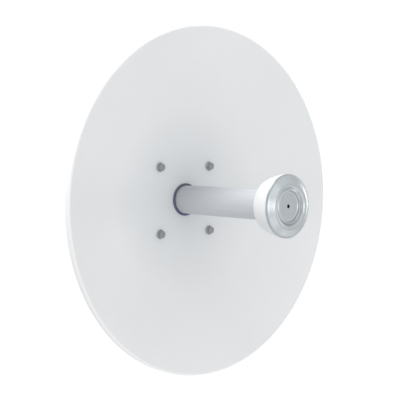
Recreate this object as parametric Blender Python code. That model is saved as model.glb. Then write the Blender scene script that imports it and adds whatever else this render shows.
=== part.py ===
"""Microwave dish antenna on a pole bracket, built as separate named pieces.

Frame: +Z up, the dish looks along -Y. The origin is on the flat rear face of the
pole bracket, level with the dish's axis, so the axis is the line x = z = 0.
"""
import math

import bmesh
import bpy

MM = 0.001

# Clearance left between pieces that touch
GAP = 0.3 * MM

# Driving stations along the axis
HUB_BACK_Y = -130 * MM
SHEET = 2.0 * MM
HUB_FRONT_Y = HUB_BACK_Y - SHEET
HUB_DEPTH = 81.0 * MM
LIP_Y = HUB_FRONT_Y - HUB_DEPTH
DISC_Y = LIP_Y - 181.1 * MM

# Reflector dish
HUB_FLAT_R = 100 * MM
BLEND_R = 150 * MM
REFLECTOR_R = 320.5 * MM
LIP_ROUND = 3.0 * MM
BAND_DEPTH = 10.7 * MM
DISH_SIDES = 80
DISH_STEPS = 6
BLEND_STEPS = 2
LIP_STEPS = 4
HUB_HOLE_R = 30 * MM

# Round holes, by size
HOLE_SIDES = 16
SMALL_HOLE_SIDES = 12
LARGE_HOLE_SIDES = 48

# Fasteners, eight millimetre thread with flanged hex heads
THREAD_R = 4.0 * MM
CLEAR_R = 4.5 * MM
NUT_BORE_R = THREAD_R + GAP
FLANGE_R = 8.95 * MM
HEX_FLATS = 13 * MM
HEAD_H = 8.0 * MM
HEX_FACE_R = 5.9 * MM
HEX_CHAMFER = 0.9 * MM
FLANGE_EDGE_H = 1.3 * MM
FLANGE_TOP_H = 2.7 * MM
FASTENER_SIDES = 12

# Dish bolts, each turned as the spanner left it
BOLT_SPREAD = 63.5 * MM
DISH_BOLT_LENGTH = 20 * MM
DISH_BOLT_TURNS = (12, 38, 25, 50)

# Feed tube and its collar
TUBE_R = 27.25 * MM
TUBE_WALL = 2.0 * MM
TUBE_BORE_R = TUBE_R + 0.35 * MM
TUBE_SIDES = 40
COLLAR_R = 31.3 * MM
COLLAR_PROUD = 2.6 * MM
COLLAR_EDGE = 0.8 * MM

# Splash disc, a pressed sheet: the radius and height of each ring of its face
CUP_SIDES = 48
DISC_R = 55.2 * MM
DISC_SHEET = 1.5 * MM
DISC_HOLE_R = 3.3 * MM
FLOOR_R, FLOOR_H = 21.0 * MM, 1.2 * MM
RIDGE_R, RIDGE_H = 24.8 * MM, 3.1 * MM
VALLEY_R, VALLEY_H = 28.6 * MM, 1.2 * MM
SHOULDER_R, SHOULDER_H = 33.0 * MM, 5.7 * MM
CREST_R, CREST_H = 39.0 * MM, 8.2 * MM
RING_ROUND_R, RING_ROUND_H = 1.7 * MM, 0.6 * MM
FOOT_R, FOOT_H = 52.4 * MM, 0.5 * MM
EDGE_H = 0.3 * MM

# Plastic cup behind the disc
CUP_DEPTH = 39.0 * MM
CUP_BACK_R = 45.3 * MM
CUP_CURVE = 1.9
CUP_STEPS = 6
CUP_INSET = 0.2 * MM
CUP_EDGE = 2.5 * MM
CUP_EDGE_ROUND = 0.7 * MM
CUP_WALL = 3.0 * MM
CUP_BACK_WALL = 14.0 * MM
CUP_BORE_R = 22.0 * MM
TUBE_IN_CUP = 10.0 * MM

# Folded sheet
BEND_R = 6.0 * MM

# Dish bracket, a folded channel behind the hub
CHANNEL_T = 4.0 * MM
CHANNEL_HALF_W = 80 * MM
CHANNEL_HALF_H = 85 * MM
WEB_HOLE_R = 34 * MM
WEB_FRONT_Y = HUB_BACK_Y + GAP
WEB_BACK_Y = WEB_FRONT_Y + CHANNEL_T

# Elevation pivot and the slot that turns about it
PIVOT_Y = -50 * MM
PIVOT_Z = -45 * MM
LOCK_REACH = 90 * MM
SLOT_HALF_ANGLE = math.radians(15)
SLOT_STEPS = 8
WASHER_T = 1.6 * MM
WASHER_R = 10 * MM
WASHER_SIDES = 24
SIDE_BOLT_LENGTH = 20 * MM
SIDE_BOLT_TURN = math.radians(8)
SIDE_NUT_TURN = math.radians(20)

# Outline of the dish bracket's ears: a lobe round the pivot and a wider one round the slot
EAR_CORNER_R = 12 * MM
EAR_END_Y = -12 * MM
EAR_FOOT_DEPTH = 18 * MM
EAR_HEAD_DEPTH = 22 * MM
EAR_BELOW_PIVOT = 21 * MM
EAR_ABOVE_PIVOT = 12 * MM
EAR_AHEAD_OF_PIVOT = 12 * MM
EAR_BEHIND_PIVOT = 22 * MM
EAR_CHIN_Y = PIVOT_Y + 16 * MM
EAR_NECK_Y = PIVOT_Y + 10 * MM
EAR_NECK_Z = 2 * MM
EAR_SLOT_LOW_Z = 20 * MM
EAR_SLOT_HIGH_Z = 66 * MM
EAR_BROW_Y = EAR_END_Y - 26 * MM
EAR_BROW_Z = 74 * MM

# Pole bracket, a folded channel with its web on the pole
POLE_T = 4.5 * MM
POLE_HALF_W = CHANNEL_HALF_W - CHANNEL_T - GAP
POLE_HALF_H = 80 * MM
POLE_EAR_END_Y = PIVOT_Y - 18 * MM
POLE_EAR_CORNER_R = 10 * MM
POLE_EAR_FOOT_Y = -16 * MM
POLE_EAR_HALF_H = 19 * MM
POLE_NOTCH_HALF_H = 22 * MM
POLE_NUT_TURN = math.radians(15)

# U-bolts round the pole
UBOLT_HALF_PITCH = 30 * MM
UBOLT_Z = 55 * MM
UBOLT_STRAIGHT_Y = 34 * MM
UBOLT_END_Y = -21 * MM
UBOLT_STEPS = 16

# Radio housing
HOUSING_HALF_W = 50 * MM
HOUSING_TOP = 78 * MM
HOUSING_BOTTOM = -105 * MM
HOUSING_DEPTH = 37.4 * MM
HOUSING_EDGE = 4 * MM
HOUSING_FRONT_Y = WEB_BACK_Y + GAP
HOUSING_BACK_Y = HOUSING_FRONT_Y + HOUSING_DEPTH
BOSS_R = WEB_HOLE_R - 0.6 * MM
BOSS_ROOT = 5 * MM
SOCKET_DEPTH = 15 * MM
SOCKET_FLOOR_Y = HOUSING_FRONT_Y + SOCKET_DEPTH
TAB_REACH = 67 * MM
TAB_HALF_H = 11 * MM
TAB_CORNER_R = 5 * MM
TAB_T = 5.0 * MM
TAB_SCREW_X = 59 * MM
SCREW_R = 2.5 * MM
SCREW_HOLE_R = 2.85 * MM
SCREW_HEAD_R = 4.6 * MM
SCREW_HEAD_H = 3.6 * MM
SCREW_EDGE = 1.0 * MM

# Finned cover
COVER_T = 4.0 * MM
COVER_INSET = 2 * MM
COVER_CORNER_R = 6 * MM
FIN_COUNT = 7
FIN_T = 3.0 * MM
FIN_H = 8.5 * MM
FIN_PITCH = 12.5 * MM
FIN_END_TOP = 12 * MM
FIN_END_BOTTOM = 16 * MM

# Port cover and gland under the housing
PORT_Y = -106 * MM
PORT_LEFT, PORT_RIGHT = -40 * MM, 16 * MM
PORT_HALF_DEPTH = 12 * MM
PORT_H = 9 * MM
PORT_EDGE = 2 * MM
GLAND_X = 33 * MM
GLAND_FLATS = 19 * MM
GLAND_SEAT_H = 0.3 * MM
GLAND_HEX_H = 6 * MM
GLAND_CHAMFER = 0.8 * MM
GLAND_SEAT_R = 9.5 * MM
GLAND_NUT_R, GLAND_NUT_H = 8.2 * MM, 13 * MM
GLAND_END_R, GLAND_END_H = 5.6 * MM, 18 * MM


for old in list(bpy.data.objects):
    bpy.data.objects.remove(old, do_unlink=True)


# Materials: colour, roughness, metallic
FINISHES = {
    "dish_paint": ((0.80, 0.82, 0.83), 0.45, 0.0),
    "tube_paint": ((0.66, 0.68, 0.72), 0.40, 0.0),
    "collar_violet": ((0.09, 0.08, 0.20), 0.50, 0.0),
    "cup_white": ((0.88, 0.89, 0.90), 0.35, 0.0),
    "disc_metal": ((0.62, 0.66, 0.68), 0.28, 1.0),
    "zinc_steel": ((0.55, 0.56, 0.56), 0.40, 1.0),
    "bracket_steel": ((0.60, 0.62, 0.63), 0.45, 1.0),
    "housing_cast": ((0.72, 0.74, 0.75), 0.50, 0.0),
    "seal_black": ((0.03, 0.03, 0.035), 0.60, 0.0),
}


def material(finish):
    """The Principled material of a finish, made once."""
    found = bpy.data.materials.get(finish)
    if found:
        return found
    colour, roughness, metallic = FINISHES[finish]
    made = bpy.data.materials.new(finish)
    made.use_nodes = True
    shader = made.node_tree.nodes["Principled BSDF"]
    shader.inputs["Base Color"].default_value = (*colour, 1.0)
    shader.inputs["Roughness"].default_value = roughness
    shader.inputs["Metallic"].default_value = metallic
    return made


def add_object(name, bm, finish):
    """Turn a bmesh into a named object, with its faces pointing out."""
    bmesh.ops.recalc_face_normals(bm, faces=bm.faces)
    mesh = bpy.data.meshes.new(name)
    bm.to_mesh(mesh)
    bm.free()
    mesh.shade_smooth()
    mesh.set_sharp_from_angle(angle=math.radians(32))
    made = bpy.data.objects.new(name, mesh)
    bpy.context.scene.collection.objects.link(made)
    made.data.materials.append(material(finish))
    return made


def stack_rings(rings, closed=False):
    """A skin over rings of equal point counts: end caps, or the last ring meets the first."""
    bm = bmesh.new()
    loops = [[bm.verts.new(point) for point in ring] for ring in rings]
    pairs = list(zip(loops, loops[1:]))
    if closed:
        pairs.append((loops[-1], loops[0]))
    else:
        bm.faces.new(loops[0])
        bm.faces.new(loops[-1])
    for near, far in pairs:
        for i in range(len(near)):
            j = (i + 1) % len(near)
            bm.faces.new((near[i], near[j], far[j], far[i]))
    return bm


def circle(radius, y, sides, centre=(0.0, 0.0)):
    """Points of a circle about a line along Y, given by its x and z."""
    step = 2 * math.pi / sides
    return [
        (centre[0] + radius * math.cos(k * step), y, centre[1] + radius * math.sin(k * step))
        for k in range(sides)
    ]


def hexagon(flats, y, sides, centre, turn):
    """The outline of a hexagon, with the same count of points as a circle of that many sides."""
    points = []
    for k in range(sides):
        angle = 2 * math.pi * k / sides
        off = (angle + math.pi / 6) % (math.pi / 3) - math.pi / 6
        reach = flats / 2 / math.cos(off)
        points.append(
            (centre[0] + reach * math.cos(angle + turn), y, centre[1] + reach * math.sin(angle + turn))
        )
    return points


def turned(name, profile, finish, sides, closed=False, centre=(0.0, 0.0)):
    """A piece turned about Y, from (radius, y) points."""
    rings = [circle(radius, y, sides, centre) for radius, y in profile]
    return add_object(name, stack_rings(rings, closed), finish)


def place_on(point, axis):
    """A point of an outline's plane and its height, set out for an extrusion along an axis."""
    a, b, height = point
    return {"X": (height, a, b), "Y": (a, height, b), "Z": (a, b, height)}[axis]


def prism(outline, axis, low, high):
    """An outline extruded along X, Y or Z. Its two numbers are the other axes, in X, Y, Z order."""
    ends = [[place_on((a, b, height), axis) for a, b in outline] for height in (low, high)]
    return stack_rings(ends)


def rounded(points, radii, steps=4):
    """A polygon with each corner rounded to its own radius."""
    outline = []
    count = len(points)
    for i, corner in enumerate(points):
        radius = radii[i] if isinstance(radii, (list, tuple)) else radii
        ways = []
        for other in (points[i - 1], points[(i + 1) % count]):
            dx, dy = other[0] - corner[0], other[1] - corner[1]
            length = math.hypot(dx, dy)
            ways.append((dx / length, dy / length))
        (ax, ay), (bx, by) = ways
        half = math.acos(max(-1.0, min(1.0, ax * bx + ay * by))) / 2
        if radius <= 0:
            outline.append(corner)
            continue
        mx, my = ax + bx, ay + by
        middle = math.hypot(mx, my)
        centre = (
            corner[0] + mx / middle * radius / math.sin(half),
            corner[1] + my / middle * radius / math.sin(half),
        )
        tangent = radius / math.tan(half)
        first = (corner[0] + ax * tangent - centre[0], corner[1] + ay * tangent - centre[1])
        last = (corner[0] + bx * tangent - centre[0], corner[1] + by * tangent - centre[1])
        start = math.atan2(first[1], first[0])
        sweep = math.atan2(last[1], last[0]) - start
        sweep = (sweep + math.pi) % (2 * math.pi) - math.pi
        for k in range(steps + 1):
            angle = start + sweep * k / steps
            outline.append((centre[0] + radius * math.cos(angle), centre[1] + radius * math.sin(angle)))
    return outline


def rectangle(low, high):
    """The corners of a rectangle, for an outline."""
    return [(low[0], low[1]), (high[0], low[1]), (high[0], high[1]), (low[0], high[1])]


def shape_with(target, bm, operation, name):
    """Cut, join or trim an object with a hidden helper, through a Boolean modifier."""
    helper = add_object(name, bm, "zinc_steel")
    helper.hide_render = True
    helper.display_type = "WIRE"
    step = target.modifiers.new(name, "BOOLEAN")
    step.operation = operation
    step.object = helper
    return helper


def drill(target, spots, radius, axis, low, high, name, sides=HOLE_SIDES):
    """Round holes along an axis, at spots given as an outline's two numbers."""
    cutter = bmesh.new()
    for number, (a, b) in enumerate(spots):
        outline = [
            (a + radius * math.cos(2 * math.pi * k / sides), b + radius * math.sin(2 * math.pi * k / sides))
            for k in range(sides)
        ]
        hole = prism(outline, axis, low, high)
        scratch = bpy.data.meshes.new(f"{name}_{number}")
        hole.to_mesh(scratch)
        hole.free()
        cutter.from_mesh(scratch)
        bpy.data.meshes.remove(scratch)
    shape_with(target, cutter, "DIFFERENCE", name)


def reflector_focal_length():
    """Focal length that puts the flat hub at its depth behind the lip."""
    focal = 270 * MM
    for _ in range(20):
        lip_drop = LIP_ROUND * (1 - math.cos(math.atan(REFLECTOR_R / (2 * focal))))
        ramp = (BLEND_R - HUB_FLAT_R) * BLEND_R / 4
        bowl = (REFLECTOR_R ** 2 - BLEND_R ** 2) / 4
        focal = (ramp + bowl) / (HUB_DEPTH - lip_drop)
    return focal


def reflector_surface(radius, focal):
    """Depth behind the lip and slope of the reflecting face at a radius."""
    lip_drop = LIP_ROUND * (1 - math.cos(math.atan(REFLECTOR_R / (2 * focal))))
    if radius >= BLEND_R:
        return lip_drop + (REFLECTOR_R ** 2 - radius ** 2) / (4 * focal), -radius / (2 * focal)
    into = max(0.0, radius - HUB_FLAT_R)
    span = BLEND_R - HUB_FLAT_R
    steepest = BLEND_R / (2 * focal)
    return HUB_DEPTH - steepest * into ** 2 / (2 * span), -steepest * into / span


def make_reflector():
    """The dish: flat hub, blended parabola, rounded lip and a band turned back, all of one sheet."""
    focal = reflector_focal_length()
    radii = [HUB_HOLE_R, HUB_FLAT_R]
    for low, high, steps in ((HUB_FLAT_R, BLEND_R, BLEND_STEPS), (BLEND_R, REFLECTOR_R, DISH_STEPS)):
        radii += [low + (high - low) * k / steps for k in range(1, steps + 1)]
    front, back = [], []
    for radius in radii:
        depth, slope = reflector_surface(radius, focal)
        tilt = math.atan(-slope)
        front.append((radius, LIP_Y + depth))
        back.append((radius + SHEET * math.sin(tilt), LIP_Y + depth + SHEET * math.cos(tilt)))
    lip_tilt = math.atan(REFLECTOR_R / (2 * focal))
    centre = (REFLECTOR_R + LIP_ROUND * math.sin(lip_tilt), LIP_Y + LIP_ROUND)
    for k in range(1, LIP_STEPS + 1):
        angle = -math.pi / 2 - lip_tilt + (math.pi / 2 + lip_tilt) * k / LIP_STEPS
        across, along = math.cos(angle), math.sin(angle)
        front.append((centre[0] + LIP_ROUND * across, centre[1] + LIP_ROUND * along))
        inner = LIP_ROUND - SHEET
        back.append((centre[0] + inner * across, centre[1] + inner * along))
    band_r = centre[0] + LIP_ROUND
    front.append((band_r, LIP_Y + BAND_DEPTH))
    back.append((band_r - SHEET, LIP_Y + BAND_DEPTH))
    dish = turned("reflector_dish", front + back[::-1], "dish_paint", DISH_SIDES, closed=True)
    drill(dish, bolt_spots(), CLEAR_R, "Y", HUB_FRONT_Y - MM, HUB_BACK_Y + MM, "dish_bolt_holes")


def bolt_spots():
    """The four dish bolts, as x and z."""
    return [(side * BOLT_SPREAD, level * BOLT_SPREAD) for level in (1, -1) for side in (-1, 1)]


def corner_name(a, b):
    """Which corner a spot is in, as seen from the front of the dish."""
    return ("upper" if b > 0 else "lower") + "_" + ("left" if a < 0 else "right")


def bolt_rings(seat, way, length, centre, turn):
    """Rings of a hex flange bolt whose shank runs from its seat along way, one or minus one."""
    def at(height):
        return seat - way * height

    def round_at(radius, height):
        return circle(radius, at(height), FASTENER_SIDES, centre)

    return [
        round_at(THREAD_R, -length),
        round_at(THREAD_R, 0),
        round_at(FLANGE_R, 0),
        round_at(FLANGE_R, FLANGE_EDGE_H),
        hexagon(HEX_FLATS, at(FLANGE_TOP_H), FASTENER_SIDES, centre, turn),
        hexagon(HEX_FLATS, at(HEAD_H - HEX_CHAMFER), FASTENER_SIDES, centre, turn),
        round_at(HEX_FACE_R, HEAD_H),
    ]


def nut_rings(seat, way, centre, turn):
    """Rings of a flanged nut whose seat faces along way, one or minus one."""
    def at(height):
        return seat - way * height

    def round_at(radius, height):
        return circle(radius, at(height), FASTENER_SIDES, centre)

    return [
        round_at(NUT_BORE_R, 0),
        round_at(FLANGE_R, 0),
        round_at(FLANGE_R, FLANGE_EDGE_H),
        hexagon(HEX_FLATS, at(FLANGE_TOP_H), FASTENER_SIDES, centre, turn),
        hexagon(HEX_FLATS, at(HEAD_H - HEX_CHAMFER), FASTENER_SIDES, centre, turn),
        round_at(HEX_FACE_R, HEAD_H),
        round_at(NUT_BORE_R, HEAD_H),
    ]


def swing_to_x(rings):
    """Turn rings made about Y so that they stand about X: their y becomes x."""
    return [[(y, x, z) for x, y, z in ring] for ring in rings]


def make_dish_fasteners():
    """Four bolts through the hub and the bracket, each turned as it was left, with their nuts."""
    for spot, degrees in zip(bolt_spots(), DISH_BOLT_TURNS):
        corner = corner_name(*spot)
        turn = math.radians(degrees)
        bolt = bolt_rings(HUB_FRONT_Y - GAP, 1, DISH_BOLT_LENGTH, spot, turn)
        add_object(f"dish_bolt_{corner}", stack_rings(bolt), "zinc_steel")
        nut = nut_rings(WEB_BACK_Y + GAP, -1, spot, turn)
        add_object(f"dish_nut_{corner}", stack_rings(nut, closed=True), "zinc_steel")


def make_feed():
    """Collar, tube, plastic cup and the splash disc that closes it."""
    collar_front = HUB_FRONT_Y - GAP - COLLAR_PROUD
    spigot_r = HUB_HOLE_R - GAP
    turned(
        "feed_collar",
        [
            (TUBE_BORE_R, collar_front),
            (COLLAR_R - COLLAR_EDGE, collar_front),
            (COLLAR_R, collar_front + COLLAR_EDGE),
            (COLLAR_R, HUB_FRONT_Y - GAP),
            (spigot_r, HUB_FRONT_Y - GAP),
            (spigot_r, HUB_BACK_Y),
            (TUBE_BORE_R, HUB_BACK_Y),
        ],
        "collar_violet",
        TUBE_SIDES,
        closed=True,
    )
    cup_back = DISC_Y + CUP_DEPTH
    tube_front = cup_back - TUBE_IN_CUP
    tube_back = SOCKET_FLOOR_Y - GAP
    bore = TUBE_R - TUBE_WALL
    turned(
        "feed_tube",
        [(bore, tube_front), (TUBE_R, tube_front), (TUBE_R, tube_back), (bore, tube_back)],
        "tube_paint",
        TUBE_SIDES,
        closed=True,
    )
    make_cup(cup_back, tube_front)
    make_disc()


def cup_outer_radius(behind):
    """Outer radius of the cup at a distance behind the disc's outline."""
    return CUP_BACK_R + (DISC_R - CUP_BACK_R) * (1 - (behind / CUP_DEPTH) ** CUP_CURVE)


def make_cup(cup_back, tube_front):
    """A bowl with a thick back wall that takes the tube's end."""
    rim = DISC_SHEET + GAP
    outer = []
    for k in range(CUP_STEPS + 1):
        behind = rim + (CUP_DEPTH - CUP_EDGE - rim) * k / CUP_STEPS
        outer.append((cup_outer_radius(behind) - CUP_INSET, DISC_Y + behind))
    outer.append((CUP_BACK_R - CUP_EDGE_ROUND, cup_back - CUP_EDGE_ROUND))
    outer.append((CUP_BACK_R - CUP_EDGE - CUP_EDGE_ROUND, cup_back))
    floor_y = cup_back - CUP_BACK_WALL
    shoulder_y = tube_front - GAP
    inner = [
        (TUBE_BORE_R, cup_back),
        (TUBE_BORE_R, shoulder_y),
        (CUP_BORE_R, shoulder_y),
        (CUP_BORE_R, floor_y),
        (cup_outer_radius(CUP_DEPTH - CUP_BACK_WALL) - CUP_WALL, floor_y),
        (cup_outer_radius(rim) - CUP_WALL, DISC_Y + rim),
    ]
    turned("subreflector_cup", outer + inner, "cup_white", CUP_SIDES, closed=True)


def disc_front():
    """The disc's pressed face, as radius and height in front of its outline."""
    return [
        (DISC_HOLE_R, FLOOR_H),
        (FLOOR_R, FLOOR_H),
        (RIDGE_R - RING_ROUND_R, RIDGE_H - RING_ROUND_H),
        (RIDGE_R, RIDGE_H),
        (RIDGE_R + RING_ROUND_R, RIDGE_H - RING_ROUND_H),
        (VALLEY_R, VALLEY_H),
        (SHOULDER_R, SHOULDER_H),
        (CREST_R - RING_ROUND_R, CREST_H - RING_ROUND_H),
        (CREST_R, CREST_H),
        (CREST_R + RING_ROUND_R, CREST_H - RING_ROUND_H),
        (FOOT_R, FOOT_H),
        (DISC_R, EDGE_H),
    ]


def make_disc():
    """The splash disc: a thin pressed sheet with a hole in its middle."""
    front = [(radius, DISC_Y - height) for radius, height in disc_front()]
    back = [(radius, y + DISC_SHEET) for radius, y in front]
    turned("subreflector_plate", front + back[::-1], "disc_metal", CUP_SIDES, closed=True)


def channel(name, half_w, sheet, web_outer, web_inner, ear_end, half_h, finish):
    """A folded channel standing along Z, its web between two faces and its ears out to ear_end."""
    inside = half_w - sheet
    corners = [
        (half_w, ear_end),
        (half_w, web_outer),
        (-half_w, web_outer),
        (-half_w, ear_end),
        (-inside, ear_end),
        (-inside, web_inner),
        (inside, web_inner),
        (inside, ear_end),
    ]
    inner_bend = BEND_R - sheet
    radii = [0, BEND_R, BEND_R, 0, 0, inner_bend, inner_bend, 0]
    return add_object(name, prism(rounded(corners, radii), "Z", -half_h, half_h), finish)


def slot_outline(width):
    """The curved slot for the lock bolt, in y and z, about the pivot."""
    sides = []
    for reach, order in ((LOCK_REACH + width / 2, 1), (LOCK_REACH - width / 2, -1)):
        for k in range(SLOT_STEPS + 1):
            angle = order * SLOT_HALF_ANGLE * (1 - 2 * k / SLOT_STEPS)
            sides.append((PIVOT_Y - reach * math.sin(angle), PIVOT_Z + reach * math.cos(angle)))
    return sides


def make_dish_bracket():
    """Channel behind the hub, with ears that carry the pivot and the curved slot."""
    bracket = channel(
        "dish_bracket", CHANNEL_HALF_W, CHANNEL_T, WEB_FRONT_Y, WEB_BACK_Y, EAR_END_Y, CHANNEL_HALF_H,
        "bracket_steel",
    )
    trim = [
        (WEB_FRONT_Y - MM, -CHANNEL_HALF_H),
        (WEB_FRONT_Y + EAR_FOOT_DEPTH, -CHANNEL_HALF_H),
        (PIVOT_Y - EAR_AHEAD_OF_PIVOT, PIVOT_Z - EAR_BELOW_PIVOT),
        (EAR_CHIN_Y, PIVOT_Z - EAR_BELOW_PIVOT),
        (PIVOT_Y + EAR_BEHIND_PIVOT, PIVOT_Z + EAR_ABOVE_PIVOT),
        (EAR_NECK_Y, EAR_NECK_Z),
        (EAR_END_Y, EAR_SLOT_LOW_Z),
        (EAR_END_Y, EAR_SLOT_HIGH_Z),
        (EAR_BROW_Y, EAR_BROW_Z),
        (WEB_FRONT_Y + EAR_HEAD_DEPTH, CHANNEL_HALF_H),
        (WEB_FRONT_Y - MM, CHANNEL_HALF_H),
    ]
    radii = [0] + [EAR_CORNER_R] * (len(trim) - 2) + [0]
    shape_with(
        bracket,
        prism(rounded(trim, radii), "X", -CHANNEL_HALF_W - MM, CHANNEL_HALF_W + MM),
        "INTERSECT",
        "dish_bracket_trim",
    )
    web_holes = (
        ("bolt", bolt_spots(), CLEAR_R, HOLE_SIDES),
        ("tube", [(0, 0)], WEB_HOLE_R, LARGE_HOLE_SIDES),
        ("screw", [(-TAB_SCREW_X, 0), (TAB_SCREW_X, 0)], SCREW_HOLE_R, SMALL_HOLE_SIDES),
    )
    for use, spots, radius, sides in web_holes:
        name = f"dish_bracket_{use}_holes"
        drill(bracket, spots, radius, "Y", WEB_FRONT_Y - MM, WEB_BACK_Y + MM, name, sides)
    reach = CHANNEL_HALF_W + MM
    drill(bracket, [(PIVOT_Y, PIVOT_Z)], CLEAR_R, "X", -reach, reach, "dish_bracket_pivot_hole")
    slot = prism(slot_outline(2 * CLEAR_R), "X", -reach, reach)
    shape_with(bracket, slot, "DIFFERENCE", "dish_bracket_slot")


def make_pole_bracket():
    """Channel whose web lies flat on the pole and whose ears hold the dish bracket."""
    bracket = channel(
        "pole_bracket", POLE_HALF_W, POLE_T, 0.0, -POLE_T, POLE_EAR_END_Y, POLE_HALF_H, "bracket_steel"
    )
    lower = [
        (MM, -POLE_HALF_H),
        (POLE_EAR_FOOT_Y, -POLE_HALF_H),
        (PIVOT_Y, PIVOT_Z - POLE_EAR_HALF_H),
        (POLE_EAR_END_Y, PIVOT_Z - POLE_EAR_HALF_H),
        (POLE_EAR_END_Y, PIVOT_Z + POLE_EAR_HALF_H),
        (EAR_NECK_Y, PIVOT_Z + POLE_NOTCH_HALF_H),
    ]
    upper = [(y, -z) for y, z in reversed(lower)]
    trim = lower + upper
    radii = [0] + [POLE_EAR_CORNER_R] * (len(trim) - 2) + [0]
    shape_with(
        bracket,
        prism(rounded(trim, radii), "X", -POLE_HALF_W - MM, POLE_HALF_W + MM),
        "INTERSECT",
        "pole_bracket_trim",
    )
    drill(bracket, ubolt_spots(), CLEAR_R, "Y", -POLE_T - MM, MM, "pole_bracket_ubolt_holes")
    reach = POLE_HALF_W + MM
    ears = [(PIVOT_Y, PIVOT_Z), (PIVOT_Y, PIVOT_Z + LOCK_REACH)]
    drill(bracket, ears, CLEAR_R, "X", -reach, reach, "pole_bracket_ear_holes")


def ubolt_spots():
    """The four legs of the two U-bolts, as x and z."""
    return [(side * UBOLT_HALF_PITCH, level * UBOLT_Z) for level in (1, -1) for side in (-1, 1)]


def make_side_fasteners():
    """Pivot and lock bolts through both pairs of ears, heads outside and nuts inside."""
    levels = {"pivot": (PIVOT_Z, 0.0), "lock": (PIVOT_Z + LOCK_REACH, WASHER_T + GAP)}
    for side, hand in ((-1, "left"), (1, "right")):
        for role, (level, washer) in levels.items():
            spot = (PIVOT_Y, level)
            seat = side * (CHANNEL_HALF_W + GAP + washer)
            bolt = bolt_rings(seat, -side, SIDE_BOLT_LENGTH, spot, SIDE_BOLT_TURN)
            add_object(f"{role}_bolt_{hand}", stack_rings(swing_to_x(bolt)), "zinc_steel")
            nut_seat = side * (POLE_HALF_W - POLE_T - GAP)
            nut = nut_rings(nut_seat, side, spot, SIDE_NUT_TURN)
            add_object(f"{role}_nut_{hand}", stack_rings(swing_to_x(nut), closed=True), "zinc_steel")
        near = side * (CHANNEL_HALF_W + GAP)
        far = near + side * WASHER_T
        spot = (PIVOT_Y, PIVOT_Z + LOCK_REACH)
        washer = [
            circle(radius, along, WASHER_SIDES, spot)
            for radius, along in ((NUT_BORE_R, near), (WASHER_R, near), (WASHER_R, far), (NUT_BORE_R, far))
        ]
        add_object(f"lock_washer_{hand}", stack_rings(swing_to_x(washer), closed=True), "zinc_steel")


def make_pole_clamps():
    """Two U-bolts that hold a round pole against the bracket, with their nuts."""
    for level, height in (("upper", UBOLT_Z), ("lower", -UBOLT_Z)):
        route = [(-UBOLT_HALF_PITCH, UBOLT_END_Y)]
        for k in range(UBOLT_STEPS + 1):
            angle = math.pi - math.pi * k / UBOLT_STEPS
            route.append((
                UBOLT_HALF_PITCH * math.cos(angle),
                UBOLT_STRAIGHT_Y + UBOLT_HALF_PITCH * math.sin(angle),
            ))
        route.append((UBOLT_HALF_PITCH, UBOLT_END_Y))
        curve = bpy.data.curves.new(f"pole_ubolt_{level}", "CURVE")
        curve.dimensions = "3D"
        curve.bevel_depth = THREAD_R
        curve.bevel_resolution = 3
        curve.use_fill_caps = True
        spline = curve.splines.new("POLY")
        spline.points.add(len(route) - 1)
        for point, (x, y) in zip(spline.points, route):
            point.co = (x, y, height, 1.0)
        ubolt = bpy.data.objects.new(f"pole_ubolt_{level}", curve)
        bpy.context.scene.collection.objects.link(ubolt)
        curve.materials.append(material("zinc_steel"))
    for spot in ubolt_spots():
        nut = nut_rings(-POLE_T - GAP, 1, spot, POLE_NUT_TURN)
        add_object(f"pole_nut_{corner_name(*spot)}", stack_rings(nut, closed=True), "zinc_steel")


def bevelled_box(low, high, width, segments=2):
    """A box with all its edges rounded."""
    bm = bmesh.new()
    bmesh.ops.create_cube(bm, size=1.0)
    for vert in bm.verts:
        vert.co = [lo if c < 0 else hi for c, lo, hi in zip(vert.co, low, high)]
    bmesh.ops.bevel(
        bm, geom=list(bm.edges), offset=width, segments=segments, profile=0.5, affect="EDGES"
    )
    return bm


def make_housing():
    """The radio's cast body, its finned cover, the port cover, the gland and two screws."""
    body = add_object(
        "radio_housing",
        bevelled_box(
            (-HOUSING_HALF_W, HOUSING_FRONT_Y, HOUSING_BOTTOM),
            (HOUSING_HALF_W, HOUSING_BACK_Y, HOUSING_TOP),
            HOUSING_EDGE,
        ),
        "housing_cast",
    )
    tabs = rounded(rectangle((-TAB_REACH, -TAB_HALF_H), (TAB_REACH, TAB_HALF_H)), TAB_CORNER_R)
    shape_with(
        body, prism(tabs, "Y", HOUSING_FRONT_Y, HOUSING_FRONT_Y + TAB_T), "UNION", "radio_housing_tabs"
    )
    boss_front = HUB_BACK_Y + GAP
    boss = stack_rings([
        circle(BOSS_R, boss_front, LARGE_HOLE_SIDES),
        circle(BOSS_R, HOUSING_FRONT_Y + BOSS_ROOT, LARGE_HOLE_SIDES),
    ])
    shape_with(body, boss, "UNION", "radio_housing_boss")
    drill(
        body, [(0, 0)], TUBE_BORE_R, "Y", boss_front - MM, SOCKET_FLOOR_Y,
        "radio_housing_socket", LARGE_HOLE_SIDES,
    )
    screws = [(-TAB_SCREW_X, 0), (TAB_SCREW_X, 0)]
    drill(
        body, screws, SCREW_HOLE_R, "Y", HOUSING_FRONT_Y - MM, HOUSING_FRONT_Y + TAB_T + MM,
        "radio_housing_screw_holes", SMALL_HOLE_SIDES,
    )
    make_cover()
    make_ports()
    for x, hand in ((-TAB_SCREW_X, "left"), (TAB_SCREW_X, "right")):
        seat = HOUSING_FRONT_Y + TAB_T + GAP
        turned(
            f"housing_screw_{hand}",
            [
                (SCREW_R, HUB_BACK_Y + 2 * GAP),
                (SCREW_R, seat),
                (SCREW_HEAD_R, seat),
                (SCREW_HEAD_R, seat + SCREW_HEAD_H - SCREW_EDGE),
                (SCREW_HEAD_R - SCREW_EDGE, seat + SCREW_HEAD_H),
            ],
            "zinc_steel",
            FASTENER_SIDES,
            centre=(x, 0.0),
        )


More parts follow.
